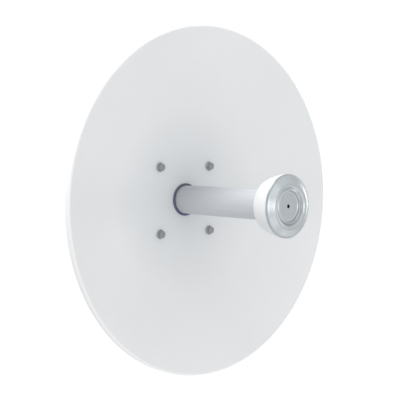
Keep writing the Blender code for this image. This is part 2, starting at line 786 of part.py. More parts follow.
def make_cover():
    """A flat lid with upright cooling fins."""
    front = HOUSING_BACK_Y + GAP
    half_w = HOUSING_HALF_W - COVER_INSET
    outline = rounded(
        rectangle((-half_w, HOUSING_BOTTOM + COVER_INSET), (half_w, HOUSING_TOP - COVER_INSET)),
        COVER_CORNER_R,
    )
    cover = add_object("housing_cover", prism(outline, "Y", front, front + COVER_T), "housing_cast")
    fins = bmesh.new()
    for k in range(FIN_COUNT):
        x = (k - (FIN_COUNT - 1) / 2) * FIN_PITCH
        low = (x - FIN_T / 2, front + COVER_T / 2, HOUSING_BOTTOM + FIN_END_BOTTOM)
        high = (x + FIN_T / 2, front + COVER_T + FIN_H, HOUSING_TOP - FIN_END_TOP)
        fin = bmesh.ops.create_cube(fins, size=1.0)["verts"]
        for vert in fin:
            vert.co = [lo if c < 0 else hi for c, lo, hi in zip(vert.co, low, high)]
    shape_with(cover, fins, "UNION", "housing_cover_fins")


def make_ports():
    """Under the housing: the port cover and the plugged cable gland."""
    face = HOUSING_BOTTOM - GAP
    low = (PORT_LEFT, PORT_Y - PORT_HALF_DEPTH, face - PORT_H)
    high = (PORT_RIGHT, PORT_Y + PORT_HALF_DEPTH, face)
    add_object("port_cover", bevelled_box(low, high, PORT_EDGE), "seal_black")
    sides = FASTENER_SIDES
    spot = (GLAND_X, PORT_Y)
    rings = [
        circle(GLAND_SEAT_R, face, sides, spot),
        hexagon(GLAND_FLATS, face - GLAND_SEAT_H, sides, spot, 0.0),
        hexagon(GLAND_FLATS, face - GLAND_HEX_H, sides, spot, 0.0),
        circle(GLAND_NUT_R, face - GLAND_HEX_H - GLAND_CHAMFER, sides, spot),
        circle(GLAND_NUT_R, face - GLAND_NUT_H, sides, spot),
        circle(GLAND_END_R, face - GLAND_END_H, sides, spot),
    ]
    upright = [[(x, z, y) for x, y, z in ring] for ring in rings]
    add_object("cable_gland", stack_rings(upright), "seal_black")


make_reflector()
make_feed()
make_dish_fasteners()
make_dish_bracket()
make_housing()
make_pole_bracket()
make_side_fasteners()
make_pole_clamps()
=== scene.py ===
import math

import bmesh
import bpy
from mathutils import Matrix, Quaternion, Vector


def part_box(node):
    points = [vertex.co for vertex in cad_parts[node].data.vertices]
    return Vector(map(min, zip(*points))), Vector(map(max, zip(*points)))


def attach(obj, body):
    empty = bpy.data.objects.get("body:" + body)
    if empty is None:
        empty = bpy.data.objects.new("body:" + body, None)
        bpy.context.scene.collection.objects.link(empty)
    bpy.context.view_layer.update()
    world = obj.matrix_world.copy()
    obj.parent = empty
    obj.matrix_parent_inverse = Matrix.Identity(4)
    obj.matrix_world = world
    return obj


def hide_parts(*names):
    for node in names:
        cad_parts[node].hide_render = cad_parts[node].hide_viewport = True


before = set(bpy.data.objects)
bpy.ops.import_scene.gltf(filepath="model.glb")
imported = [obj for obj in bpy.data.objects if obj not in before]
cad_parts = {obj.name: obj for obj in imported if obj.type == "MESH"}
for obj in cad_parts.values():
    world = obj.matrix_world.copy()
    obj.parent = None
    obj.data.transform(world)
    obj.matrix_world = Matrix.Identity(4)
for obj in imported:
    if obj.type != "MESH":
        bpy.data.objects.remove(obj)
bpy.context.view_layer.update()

MM = 0.001
TURN = 2 * math.pi
SIXTH = TURN / 6
GAP = 0.3 * MM
HANDS = {"left": -1, "right": 1}

# Easing of edges: points nearer than the weld are one, and the angles are in degrees
WELD = MM / 50
FLAT_ANGLE, EDGE_ANGLE = 1, 40
EDGE_SEGMENTS, BOX_SEGMENTS = 3, 6

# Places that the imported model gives. The dish's axis is the line x = z = 0, and it looks along -Y
DISH_LOW, DISH_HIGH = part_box("reflector_dish")
COLLAR_LOW, COLLAR_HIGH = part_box("feed_collar")
TUBE_LOW, TUBE_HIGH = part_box("feed_tube")
CUP_LOW, CUP_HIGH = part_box("subreflector_cup")
_, DISC_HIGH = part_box("subreflector_plate")
BRACKET_LOW, BRACKET_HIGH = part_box("dish_bracket")
POLE_LOW, POLE_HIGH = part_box("pole_bracket")
UBOLT_LOW, UBOLT_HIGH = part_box("pole_ubolt_upper")
HOUSING_LOW, HOUSING_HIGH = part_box("radio_housing")
COVER_LOW, COVER_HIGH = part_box("housing_cover")
PORT_LOW, PORT_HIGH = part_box("port_cover")
GLAND_LOW, GLAND_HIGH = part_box("cable_gland")
PIVOT_LOW, PIVOT_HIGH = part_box("pivot_bolt_left")
LOCK_LOW, LOCK_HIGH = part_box("lock_bolt_left")
LIP_Y = DISH_LOW.y
HUB_BACK_Y = DISH_HIGH.y
TUBE_R = TUBE_HIGH.x
DISC_R = DISC_HIGH.x

# Camera, from the photograph's perspective
CAMERA_AT = Vector((-1.0922, LIP_Y - 1.1292, 0.1006))
AZIMUTH, ELEVATION = math.radians(-43.08), math.radians(3.57)
FOCAL_PIXELS = 843.8
FRAME_PIXELS = 400
SENSOR_MM = 36.0
CLIP_START, CLIP_END = 0.05, 60.0

# Plain surroundings: the floor fades to white towards its edge
FLOOR_Z = -1.6
FLOOR_R = 3.2
FLOOR_FADE_R = 0.95 * FLOOR_R
FLOOR_SIDES = 96
FLOOR_GREY = 0.3
FLOOR_TONE, FLOOR_EDGE_TONE = 0.55, 1.1
DOME_R = 12.0
DOME_CUTS = 4

# Light: each panel's azimuth and elevation in degrees, its width in metres and its watts
WORLD_STRENGTH = 0.71
PANEL_CENTRE = Vector((0, -0.25, 0))
PANEL_DISTANCE = 3.0
PANELS = {
    "front": (-10, 0, 1.4, 7.2),
    "front_high": (-10, 36, 1.8, 3.8),
    "front_low": (-10, -36, 1.8, 3.6),
    "left": (-75, 0, 1.4, 6.5),
    "left_low": (-45, -36, 1.8, 0.9),
    "upper_left": (-120, 66, 2.0, 60),
    "right_front_high": (25, 36, 1.8, 1.2),
    "right_front_low": (25, -36, 1.8, 0.9),
    "right": (72, 0, 1.4, 3.3),
    "right_high": (55, 40, 1.8, 1.0),
    "right_low": (75, -38, 1.8, 1.6),
    "far_right": (112, 5, 1.4, 10.5),
    "below": (60, -66, 2.0, 6.5),
    "behind_left": (-130, -35, 2.2, 2.5),
    "behind_right": (140, 25, 2.4, 3),
}

# Reflector dish, one sheet of metal
SHEET = 2.0 * MM
HUB_FLAT_R = 100 * MM
BLEND_R = 150 * MM
REFLECTOR_R = 320.5 * MM
LIP_ROUND = 3.0 * MM
BAND_DEPTH = 10.7 * MM
BAND_EDGE = 0.5 * MM
HUB_HOLE_R = 30 * MM
HUB_DEPTH = HUB_BACK_Y - SHEET - LIP_Y
DISH_SIDES = 256
BLEND_STEPS = 12
DISH_STEPS = 40
LIP_STEPS = 8
DISH_SHARP = 40
FOCAL_ROUNDS = 20

# Feed
COLLAR_SPIGOT_R = 29.7 * MM
COLLAR_BORE_R = 27.6 * MM
COLLAR_SHOULDER_Y = HUB_BACK_Y - SHEET - GAP
COLLAR_EDGE = 0.9 * MM
TUBE_WALL = 2.0 * MM
TUBE_EDGE = 0.4 * MM
# Painted shade on the tube by the hub: where it fades out, and how far it slants along the top
TUBE_SHADE_END_Y = COLLAR_LOW.y - 135 * MM
TUBE_SHADE_SLANT = 1.6
FEED_SIDES = 160

# Splash disc: the radius and height in millimetres of each ring of its pressed face
DISC_SHEET = 1.5 * MM
DISC_EDGE_H = 0.3 * MM
DISC_Y = DISC_HIGH.y - DISC_SHEET + DISC_EDGE_H
DISC_RINGS = (
    (3.3, 1.2), (12.0, 1.2), (21.8, 1.2), (22.8, 1.4), (24.0, 2.0), (25.0, 2.2), (26.0, 2.0),
    (27.2, 1.4), (28.2, 1.2), (29.2, 1.3), (31.0, 3.0), (33.0, 5.7), (35.0, 6.9), (36.9, 7.7),
    (39.0, 8.2), (41.1, 7.7), (43.0, 6.55), (46.0, 4.6), (49.0, 2.6), (50.8, 1.45), (52.2, 0.75),
    (53.8, 0.38), (55.2, 0.3),
)
DISC_STEPS = 6

# Where the disc is darker: duller down its cone, painted shadow low in its groove, and its cut edge,
# partly painted shade of the gap at the cup's rim
DISC_CREST_R = 39 * MM
DISC_CONE_FADE = 4 * MM
DISC_GROOVE_R = 31 * MM
GROOVE_SHADOW_NEAR, GROOVE_SHADOW_FAR = 2 * MM, 4 * MM
GROOVE_SHADOW_LOW_Z, GROOVE_SHADOW_HIGH_Z = 6 * MM, 22 * MM
CUT_EDGE_IN, CUT_EDGE_OUT = 0.9 * MM, 0.2 * MM

# Plastic cup behind the disc
CUP_DEPTH = CUP_HIGH.y - DISC_Y
CUP_BACK_R = 45.3 * MM
CUP_CURVE = 1.9
CUP_INSET = 0.2 * MM
CUP_RIM_ROUND = 0.9 * MM
CUP_EDGE = 3.0 * MM
CUP_WALL = 3.0 * MM
CUP_BACK_WALL = 14.0 * MM
CUP_BORE_R = 22.0 * MM
TUBE_IN_CUP = 10.0 * MM
CUP_STEPS = 20

# Fasteners, eight millimetre thread with flanged hex heads
THREAD_R = 4.0 * MM
THREAD_PITCH = 1.25 * MM
THREAD_DEPTH = 0.62 * MM
THREAD_RINGS = 6
NUT_BORE_R = 4.3 * MM
FLANGE_R = 8.95 * MM
FLANGE_EDGE = 0.35 * MM
FLANGE_EDGE_H = 1.3 * MM
FLANGE_SLOPE_H = 2.4 * MM
FLANGE_SLOPE_R = 7.6 * MM
HEX_FLATS = 13 * MM
HEX_CORNER_R = 7.38 * MM
HEX_FOOT_H = 2.9 * MM
HEX_FACE_R = 6.0 * MM
HEAD_H = 8.0 * MM
CHAMFER_H = 1.1 * MM
CHAMFER_STEPS = 4
DIMPLE_R = 3.6 * MM
DIMPLE_DEPTH = 0.45 * MM
BOLT_NECK = 3 * MM
FASTENER_SIDES = 48
DISH_BOLT_TURNS = {"upper_left": 12, "upper_right": 38, "lower_left": 25, "lower_right": 50}
SIDE_BOLT_TURN, SIDE_NUT_TURN, POLE_NUT_TURN = 8, 20, 15
WASHER_EDGE = 0.35 * MM
WASHER_SIDES = 64

# Button-head screws: a head's outline in shares of its radius and height, its socket and the sizes
SCREW_DOME = ((1.0, 0.35), (0.95, 0.62), (0.82, 0.85), (0.68, 0.97), (0.6, 1.0))
SCREW_SOCKET_SHARE = 0.4
COVER_SCREW = {
    "shank_r": 1.5 * MM, "length": 6 * MM, "head_r": 3.2 * MM, "head_h": 2.2 * MM, "flats": 2.2 * MM,
}
TAB_SCREW = {"shank_r": 2.5 * MM, "head_r": 4.6 * MM, "head_h": 3.6 * MM, "flats": 3 * MM}
COVER_SCREW_TURN, TAB_SCREW_TURN = 12, 17

# Folded brackets, with the outlines of their ears
CLEAR_R = 4.5 * MM
BEND_R = 6.0 * MM
CHANNEL_T = 4.0 * MM
WEB_HOLE_R = 34 * MM
WEB_BACK_Y = BRACKET_LOW.y + CHANNEL_T
PIVOT_Y = (PIVOT_LOW.y + PIVOT_HIGH.y) / 2
PIVOT_Z = (PIVOT_LOW.z + PIVOT_HIGH.z) / 2
LOCK_REACH = (LOCK_LOW.z + LOCK_HIGH.z) / 2 - PIVOT_Z
SLOT_HALF_ANGLE = 15
SLOT_STEPS = 30
EAR_CORNER_R = 12 * MM
EAR_FOOT_DEPTH = 18 * MM
EAR_HEAD_DEPTH = 22 * MM
EAR_BELOW_PIVOT = 21 * MM
EAR_ABOVE_PIVOT = 12 * MM
EAR_AHEAD_OF_PIVOT = 12 * MM
EAR_BEHIND_PIVOT = 22 * MM
EAR_CHIN_Y = PIVOT_Y + 16 * MM
EAR_NECK_Y = PIVOT_Y + 10 * MM
EAR_NECK_Z = 2 * MM
EAR_SLOT_LOW_Z = 20 * MM
EAR_SLOT_HIGH_Z = 66 * MM
EAR_BROW_Y = BRACKET_HIGH.y - 26 * MM
EAR_BROW_Z = 74 * MM
POLE_T = 4.5 * MM
POLE_EAR_CORNER_R = 10 * MM
POLE_EAR_FOOT_Y = -16 * MM
POLE_EAR_HALF_H = 19 * MM
POLE_NOTCH_HALF_H = 22 * MM
SHEET_EDGE = 0.5 * MM

# Elevation marks beside the slot: their steps in degrees, their count to each side and their sizes
MARK_STEP, LONG_MARK_STEP, MARKS_EACH_WAY = 2.5, 10, 6
MARK_START = LOCK_REACH + 12 * MM
MARK_LENGTH, LONG_MARK_LENGTH = 3.5 * MM, 6 * MM
MARK_WIDTH, MARK_RISE = 0.7 * MM, 0.15 * MM

# U-bolts
UBOLT_HALF_PITCH = UBOLT_HIGH.x - THREAD_R
UBOLT_Z = (UBOLT_LOW.z + UBOLT_HIGH.z) / 2
UBOLT_STRAIGHT_Y = UBOLT_HIGH.y - THREAD_R - UBOLT_HALF_PITCH
UBOLT_THREAD_END_Y = 12 * MM
UBOLT_BEND_STEPS = 48

# Radio housing, its cover and what is under it
HOUSING_HALF_W = 50 * MM
HOUSING_EDGE = 4 * MM
HOUSING_FRONT_Y = WEB_BACK_Y + GAP
BOSS_R = WEB_HOLE_R - 0.6 * MM
BOSS_ROOT = 5 * MM
SOCKET_DEPTH = 15 * MM
SOCKET_R = COLLAR_BORE_R
TAB_HALF_H = 11 * MM
TAB_CORNER_R = 5 * MM
TAB_T = 5 * MM
TAB_SCREW_SPOTS = ((-59 * MM, 0), (59 * MM, 0))
SCREW_HOLE_R = 2.85 * MM
CAST_EDGE = 0.7 * MM
COVER_T = 4.0 * MM
COVER_CORNER_R = 6 * MM
FIN_COUNT = 7
FIN_PITCH = 12.5 * MM
FIN_ROOT_T, FIN_TIP_T = 3.0 * MM, 2.2 * MM
FIN_END_TOP, FIN_END_BOTTOM = 10 * MM, 14 * MM
FIN_SLOPE = 2 * MM
FIN_CORNER_SHARE = 0.45
COVER_SCREW_INSET = 5 * MM
PORT_EDGE = 2 * MM
GRIP_COUNT = 9
GRIP_PITCH = 3.0 * MM
GRIP_WIDTH, GRIP_DEPTH, GRIP_EDGE = 1.3 * MM, 0.6 * MM, 2.5 * MM
GLAND_SIDES = 96
GLAND_FLATS = 19 * MM
GLAND_HEX_H = 6 * MM
GLAND_NUT_R, GLAND_NUT_H = 8.2 * MM, 13 * MM
GLAND_END_R = 5.6 * MM
GLAND_CHAMFER = 0.9 * MM
GLAND_RIBS = 16
GLAND_RIB_DEPTH = 0.45 * MM
GLAND_HEX_EASE = 0.1 * MM
GLAND_TAPER_STEPS, GLAND_RIBBED_STEPS = 5, 2
GLAND_TAPER_CURVE, GLAND_TAPER_SHARE = 1.6, 0.9


def mesh_of(name, bm):
    """The mesh of a bmesh, which is freed."""
    mesh = bpy.data.meshes.new(name)
    bm.to_mesh(mesh)
    bm.free()
    return mesh


def finish_mesh(name, bm, material, sharp=30):
    """A bmesh's shape with its faces turned out, its edges over an angle sharp, and a material."""
    bmesh.ops.recalc_face_normals(bm, faces=bm.faces)
    mesh = mesh_of(name, bm)
    smooth_faces(mesh, sharp)
    mesh.materials.append(material)
    return mesh


def add_object(name, data):
    """A new object in the scene."""
    made = bpy.data.objects.new(name, data)
    bpy.context.scene.collection.objects.link(made)
    return made


def add_piece(name, bm, material, nodes=(), sharp=35):
    """A named piece made of a bmesh, which rides on the part and stands for the nodes given."""
    mesh = finish_mesh(name, bm, material, sharp)
    return place_piece(name, mesh, Matrix.Identity(4), nodes)


def place_piece(name, mesh, matrix, nodes=()):
    """A piece of a mesh that is already made, set in its place."""
    piece = add_object(name, mesh)
    piece.matrix_world = matrix
    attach(piece, "root")
    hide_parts(*nodes)
    return piece


def stack_rings(rings, closed=False):
    """A skin over rings of equal point counts: end caps, or the last ring meets the first."""
    bm = bmesh.new()
    loops = [[bm.verts.new(point) for point in ring] for ring in rings]
    pairs = list(zip(loops, loops[1:]))
    if closed:
        pairs.append((loops[-1], loops[0]))
    else:
        bm.faces.new(loops[0])
        bm.faces.new(loops[-1])
    for near, far in pairs:
        for i in range(len(near)):
            j = (i + 1) % len(near)
            bm.faces.new((near[i], near[j], far[j], far[i]))
    return bm


def turned_outline(radius_at, sides, centre=(0, 0)):
    """An outline's points round a centre, each at the radius that its angle gives."""
    points = []
    for k in range(sides):
        angle = TURN * k / sides
        radius = radius_at(angle)
        points.append((centre[0] + radius * math.cos(angle), centre[1] + radius * math.sin(angle)))
    return points


def circle(radius, sides, centre=(0, 0)):
    """An outline's points round a circle."""
    return turned_outline(lambda angle: radius, sides, centre)


def hex_radius(angle, flats, limit):
    """A hexagon's radius at an angle, with its corners cut back to a limit."""
    off = (angle + SIXTH / 2) % SIXTH - SIXTH / 2
    return min(flats / 2 / math.cos(off), limit)


def lathe(profile, sides):
    """A closed profile of (radius, y) points turned about the dish's axis."""
    rings = [[(x, y, z) for x, z in circle(radius, sides)] for radius, y in profile]
    return stack_rings(rings, closed=True)


def rounded(points, radii, steps=5):
    """A closed outline with each corner rounded to its own radius."""
    outline = []
    for i, corner in enumerate(points):
        radius = radii[i]
        if radius <= 0:
            outline.append(corner)
            continue
        corner = Vector(corner)
        before = (Vector(points[i - 1]) - corner).normalized()
        after = (Vector(points[(i + 1) % len(points)]) - corner).normalized()
        half = before.angle(after) / 2
        centre = corner + (before + after).normalized() * radius / math.sin(half)
        first = corner + before * radius / math.tan(half) - centre
        last = corner + after * radius / math.tan(half) - centre
        start = math.atan2(first.y, first.x)
        sweep = (math.atan2(last.y, last.x) - start + math.pi) % TURN - math.pi
        for k in range(steps + 1):
            angle = start + sweep * k / steps
            outline.append((centre.x + radius * math.cos(angle), centre.y + radius * math.sin(angle)))
    return outline


def smooth_through(points, steps):
    """Points on a smooth curve that passes through the points given."""
    ends = [points[0], *points, points[-1]]
    curve = []
    for a, b, c, d in zip(ends, ends[1:], ends[2:], ends[3:]):
        for k in range(steps):
            t = k / steps
            curve.append(tuple(
                0.5 * (2 * q + (r - p) * t + (2 * p - 5 * q + 4 * r - s) * t * t
                       + (3 * q - p - 3 * r + s) * t ** 3)
                for p, q, r, s in zip(a, b, c, d)
            ))
    curve.append(points[-1])
    return curve


def prism(outline, axis, low, high):
    """An outline extruded along X, Y or Z. Its two numbers are the other axes, in X, Y, Z order."""
    order = {"X": (2, 0, 1), "Y": (0, 2, 1), "Z": (0, 1, 2)}[axis]
    ends = []
    for height in (low, high):
        ends.append([tuple((a, b, height)[k] for k in order) for a, b in outline])
    return stack_rings(ends)


def rectangle(low, high, corner_r=0, steps=5):
    """A rectangle's outline, with its corners rounded to a radius."""
    corners = [(low[0], low[1]), (high[0], low[1]), (high[0], high[1]), (low[0], high[1])]
    return rounded(corners, [corner_r] * 4, steps)


def shape_with(piece, bm, operation="DIFFERENCE"):
    """Cut, join or trim a piece with another shape."""
    bmesh.ops.recalc_face_normals(bm, faces=bm.faces)
    helper = add_object("helper", mesh_of("helper", bm))
    step = piece.modifiers.new("shape", "BOOLEAN")
    step.operation = operation
    step.object = helper
    apply_modifiers(piece)
    bpy.data.objects.remove(helper)


def drill(piece, spots, radius, low, high, axis="Y", sides=64):
    """Round holes along an axis, at spots given as an outline's two numbers."""
    for spot in spots:
        shape_with(piece, prism(circle(radius, sides, spot), axis, low, high))


def apply_modifiers(piece):
    """Keep what a piece's modifiers make as its own mesh."""
    graph = bpy.context.evaluated_depsgraph_get()
    made = bpy.data.meshes.new_from_object(piece.evaluated_get(graph))
    piece.modifiers.clear()
    piece.data = made


def smooth_faces(mesh, sharp=35):
    """Smooth shading, with the edges over an angle kept sharp."""
    mesh.shade_smooth()
    mesh.set_sharp_from_angle(angle=math.radians(sharp))


def ease_edges(piece, width):
    """A small rounding on every edge over an angle."""
    bm = bmesh.new()
    bm.from_mesh(piece.data)
    bmesh.ops.remove_doubles(bm, verts=bm.verts, dist=WELD)
    bmesh.ops.dissolve_limit(bm, angle_limit=math.radians(FLAT_ANGLE), verts=bm.verts, edges=bm.edges)
    bm.to_mesh(piece.data)
    bm.free()
    smooth_faces(piece.data)
    step = piece.modifiers.new("edges", "BEVEL")
    step.width = width
    step.segments = EDGE_SEGMENTS
    step.limit_method = "ANGLE"
    step.angle_limit = math.radians(EDGE_ANGLE)
    flats = piece.modifiers.new("flats", "WEIGHTED_NORMAL")
    flats.weight = 100
    flats.keep_sharp = True
    apply_modifiers(piece)


def bevelled_box(low, high, width):
    """A box with all its edges rounded."""
    bm = bmesh.new()
    bmesh.ops.create_cube(bm, size=1.0)
    for vert in bm.verts:
        vert.co = [lo if c < 0 else hi for c, lo, hi in zip(vert.co, low, high)]
    bmesh.ops.bevel(
        bm, geom=list(bm.edges), offset=width, segments=BOX_SEGMENTS, profile=0.5, affect="EDGES"
    )
    return bm


# Materials

def start_material(name, roughness, metallic=0.0, coat=0.0, coat_roughness=0.2):
    """A Principled material and its node tree."""
    material = bpy.data.materials.new(name)
    material.use_nodes = True
    tree = material.node_tree
    shader = tree.nodes["Principled BSDF"]
    shader.inputs["Roughness"].default_value = roughness
    shader.inputs["Metallic"].default_value = metallic
    shader.inputs["Coat Weight"].default_value = coat
    shader.inputs["Coat Roughness"].default_value = coat_roughness
    return material, tree


def add_node(tree, kind, inputs, **settings):
    """A shader node with its settings, and its inputs set or linked."""
    node = tree.nodes.new(kind)
    for name, value in settings.items():
        setattr(node, name, value)
    for socket, value in inputs.items():
        if isinstance(value, bpy.types.NodeSocket):
            tree.links.new(value, node.inputs[socket])
        else:
            node.inputs[socket].default_value = value
    return node


def part_coordinates(tree, stretch=(1.0, 1.0, 1.0)):
    """Places on the piece in metres, stretched along each axis."""
    place = tree.nodes.new("ShaderNodeTexCoord").outputs["Object"]
    mapped = add_node(tree, "ShaderNodeMapping", {"Vector": place, "Scale": stretch})
    return mapped.outputs["Vector"]


def noise(tree, scale, detail=2.0, stretch=(1.0, 1.0, 1.0)):
    """Noise of a number of cells to the metre."""
    inputs = {"Vector": part_coordinates(tree, stretch), "Scale": scale, "Detail": detail}
    return add_node(tree, "ShaderNodeTexNoise", inputs).outputs["Fac"]


def remap(tree, value, low, high, from_low=0.3, from_high=0.7):
    """A value moved from one range to another."""
    inputs = {
        "Value": value, "From Min": from_low, "From Max": from_high, "To Min": low, "To Max": high,
    }
    return add_node(tree, "ShaderNodeMapRange", inputs).outputs["Result"]


def mix_colours(tree, factor, first, second):
    """A colour between two, by a factor."""
    inputs = {0: factor, 6: first, 7: second}
    for socket in (6, 7):
        if not isinstance(inputs[socket], bpy.types.NodeSocket):
            inputs[socket] = (*inputs[socket], 1.0)
    node = add_node(tree, "ShaderNodeMix", inputs, data_type="RGBA")
    return node.outputs[2]


def calculate(tree, operation, first, second=0.0):
    """A sum or another operation on one value or two."""
    return add_node(tree, "ShaderNodeMath", {0: first, 1: second}, operation=operation).outputs[0]


def edge_share(tree, low, high):
    """How far a place is an outer edge, from 0 on the flat to 1 on the edge."""
    edges = tree.nodes.new("ShaderNodeNewGeometry").outputs["Pointiness"]
    return remap(tree, edges, 0.0, 1.0, low, high)


def part_height(tree):
    """Height above the dish's axis, in metres."""
    return add_node(tree, "ShaderNodeSeparateXYZ", {"Vector": part_coordinates(tree)}).outputs["Z"]


def radius_from_axis(tree):
    """Distance from the dish's axis, in metres."""
    place = part_coordinates(tree, (1.0, 0.0, 1.0))
    return add_node(tree, "ShaderNodeVectorMath", {0: place}, operation="LENGTH").outputs["Value"]


def finish_material(material, tone, roughness, relief, depth):
    """The material, once its tone, roughness and a relief of a depth in metres are linked."""
    tree = material.node_tree
    inputs = tree.nodes["Principled BSDF"].inputs
    bump = add_node(tree, "ShaderNodeBump", {"Height": relief, "Distance": depth})
    tree.links.new(tone, inputs["Base Color"])
    tree.links.new(roughness, inputs["Roughness"])
    tree.links.new(bump.outputs["Normal"], inputs["Normal"])
    return material


def clouded_finish(material, scale, tones, edges, roughness, relief, depth):
    """A finish with two clouded tones, and a third where outer edges are rubbed."""
    tree = material.node_tree
    clouds = remap(tree, noise(tree, scale, 4), 0.0, 1.0)
    tone = mix_colours(tree, clouds, tones[0], tones[1])
    tone = mix_colours(tree, edge_share(tree, *edges), tone, tones[2])
    return finish_material(material, tone, roughness, relief, depth)


def dish_paint():
    """Satin white powder coat with faint orange peel and specks, painted shade round the hub and over the
    back, and a painted highlight on the lip.
    """
    material, tree = start_material("dish_paint", 0.42)
    clouds = remap(tree, noise(tree, 9, 4), 0.0, 1.0)
    tone = mix_colours(tree, clouds, (0.842, 0.858, 0.872), (0.826, 0.842, 0.856))
    radius = radius_from_axis(tree)
    # Painted shade round the hub, darker towards the hub's hole
    hub_shade = remap(tree, radius, 1.0, 0.0, HUB_HOLE_R, BLEND_R + HUB_HOLE_R)
    tone = mix_colours(tree, hub_shade, tone, (0.706, 0.728, 0.748))
    # Painted shade over the back: faces that look backwards are greyer
    facing = tree.nodes.new("ShaderNodeTexCoord").outputs["Normal"]
    backwards = add_node(tree, "ShaderNodeSeparateXYZ", {"Vector": facing}).outputs["Y"]
    back = remap(tree, backwards, 0.0, 1.0, 0.2, 0.6)
    tone = mix_colours(tree, back, tone, (0.760, 0.774, 0.787))
    # Painted highlight: the lip and the band turned back are lighter
    lip = remap(tree, radius, 0.0, 1.0, REFLECTOR_R, REFLECTOR_R + LIP_ROUND / 2)
    tone = mix_colours(tree, lip, tone, (0.930, 0.935, 0.940))
    specks = remap(tree, noise(tree, 900, 3), 0.0, 0.25, 0.66, 0.80)
    tone = mix_colours(tree, specks, tone, (0.70, 0.70, 0.69))
    roughness = remap(tree, noise(tree, 60, 4), 0.37, 0.47)
    return finish_material(material, tone, roughness, noise(tree, 520, 2), 0.02 * MM)


def tube_paint():
    """Pale grey drawn tube with a lilac cast and faint lines along it, with painted shade by the hub and
    along its underside.
    """
    material, tree = start_material("tube_paint", 0.45)
    # Painted shade by the hub, darker towards the collar and reaching further along the top
    inputs = {0: part_coordinates(tree), 1: (0.0, 1.0, TUBE_SHADE_SLANT)}
    along = add_node(tree, "ShaderNodeVectorMath", inputs, operation="DOT_PRODUCT").outputs["Value"]
    out_of_hub_shade = remap(tree, along, 1.0, 0.0, TUBE_SHADE_END_Y, COLLAR_LOW.y)
    tone = mix_colours(tree, out_of_hub_shade, (0.480, 0.497, 0.525), (0.640, 0.658, 0.694))
    lines = remap(tree, noise(tree, 260, 3, (1.0, 0.02, 1.0)), 0.0, 0.5)
    tone = mix_colours(tree, lines, tone, (0.560, 0.575, 0.610))
    # Painted shade, darker towards the tube's underside
    under = remap(tree, part_height(tree), 1.0, 0.0, -TUBE_R, -TUBE_R / 3)
    tone = mix_colours(tree, under, tone, (0.500, 0.515, 0.540))
    roughness = remap(tree, noise(tree, 80, 4), 0.40, 0.50)
    return finish_material(material, tone, roughness, noise(tree, 700, 2, (1.0, 0.1, 1.0)), 0.03 * MM)


def collar_plastic():
    """Dark blue-violet moulding with a fine eroded texture, dustier on top and paler along its edges."""
    material, tree = start_material("collar_violet", 0.45)
    dusty = remap(tree, part_height(tree), 0.0, 1.0, -COLLAR_HIGH.x, COLLAR_HIGH.x / 3)
    tone = mix_colours(tree, dusty, (0.108, 0.104, 0.225), (0.108, 0.118, 0.170))
    tone = mix_colours(tree, edge_share(tree, 0.52, 0.60), tone, (0.130, 0.136, 0.210))
    roughness = remap(tree, noise(tree, 400, 3), 0.38, 0.52)
    return finish_material(material, tone, roughness, noise(tree, 1500, 3), 0.05 * MM)


def cup_plastic():
    """Bright white moulded plastic, with a hint of its moulding's flow and painted shade, greyer towards
    its underside.
    """
    material, tree = start_material("cup_white", 0.35, coat=0.2, coat_roughness=0.15)
    flow = remap(tree, noise(tree, 25, 4), 0.0, 1.0)
    tone = mix_colours(tree, flow, (0.840, 0.852, 0.864), (0.826, 0.838, 0.850))
    # Painted shade, greyer towards the cup's underside
    under = remap(tree, part_height(tree), 1.0, 0.0, -DISC_R, 0.0)
    tone = mix_colours(tree, under, tone, (0.735, 0.752, 0.770))
    roughness = remap(tree, noise(tree, 120, 3), 0.31, 0.40)
    return finish_material(material, tone, roughness, noise(tree, 500, 2), 0.008 * MM)


def disc_metal():
    """Satin spun metal: fine rings about its centre, painted shadow low in its groove, and a darker cut
    edge with painted shade of the gap at the cup's rim.
    """
    material, tree = start_material("disc_metal", 0.31, metallic=1.0)
    radius = radius_from_axis(tree)
    inputs = {"W": radius, "Scale": 2400.0, "Detail": 3.0}
    ring_noise = add_node(tree, "ShaderNodeTexNoise", inputs, noise_dimensions="1D").outputs["Fac"]
    rings = remap(tree, ring_noise, 0.0, 1.0)
    tone = mix_colours(tree, rings, (0.606, 0.652, 0.676), (0.576, 0.617, 0.638))
    clouds = remap(tree, noise(tree, 40, 4), 0.0, 0.5)
    tone = mix_colours(tree, clouds, tone, (0.580, 0.622, 0.640))
    cone = remap(tree, radius, 0.0, 0.3, DISC_CREST_R, DISC_CREST_R + DISC_CONE_FADE)
    tone = mix_colours(tree, cone, tone, (0.535, 0.575, 0.597))
    # Painted shadow low in the groove, darkest towards the bottom of the disc
    from_groove = calculate(tree, "ABSOLUTE", calculate(tree, "SUBTRACT", radius, DISC_GROOVE_R))
    groove_shadow = remap(tree, from_groove, 0.85, 0.0, GROOVE_SHADOW_NEAR, GROOVE_SHADOW_FAR)
    low_on_disc = remap(tree, part_height(tree), 1.0, 0.0, GROOVE_SHADOW_LOW_Z, GROOVE_SHADOW_HIGH_Z)
    tone = mix_colours(tree, calculate(tree, "MULTIPLY", groove_shadow, low_on_disc), tone, (0.470, 0.508, 0.528))
    # Darker cut edge, partly painted shade of the gap at the cup's rim
    cut_edge_and_gap_shade = remap(tree, radius, 0.0, 1.0, DISC_R - CUT_EDGE_IN, DISC_R - CUT_EDGE_OUT)
    tone = mix_colours(tree, cut_edge_and_gap_shade, tone, (0.515, 0.555, 0.575))
    return finish_material(material, tone, remap(tree, ring_noise, 0.29, 0.33), ring_noise, 0.006 * MM)


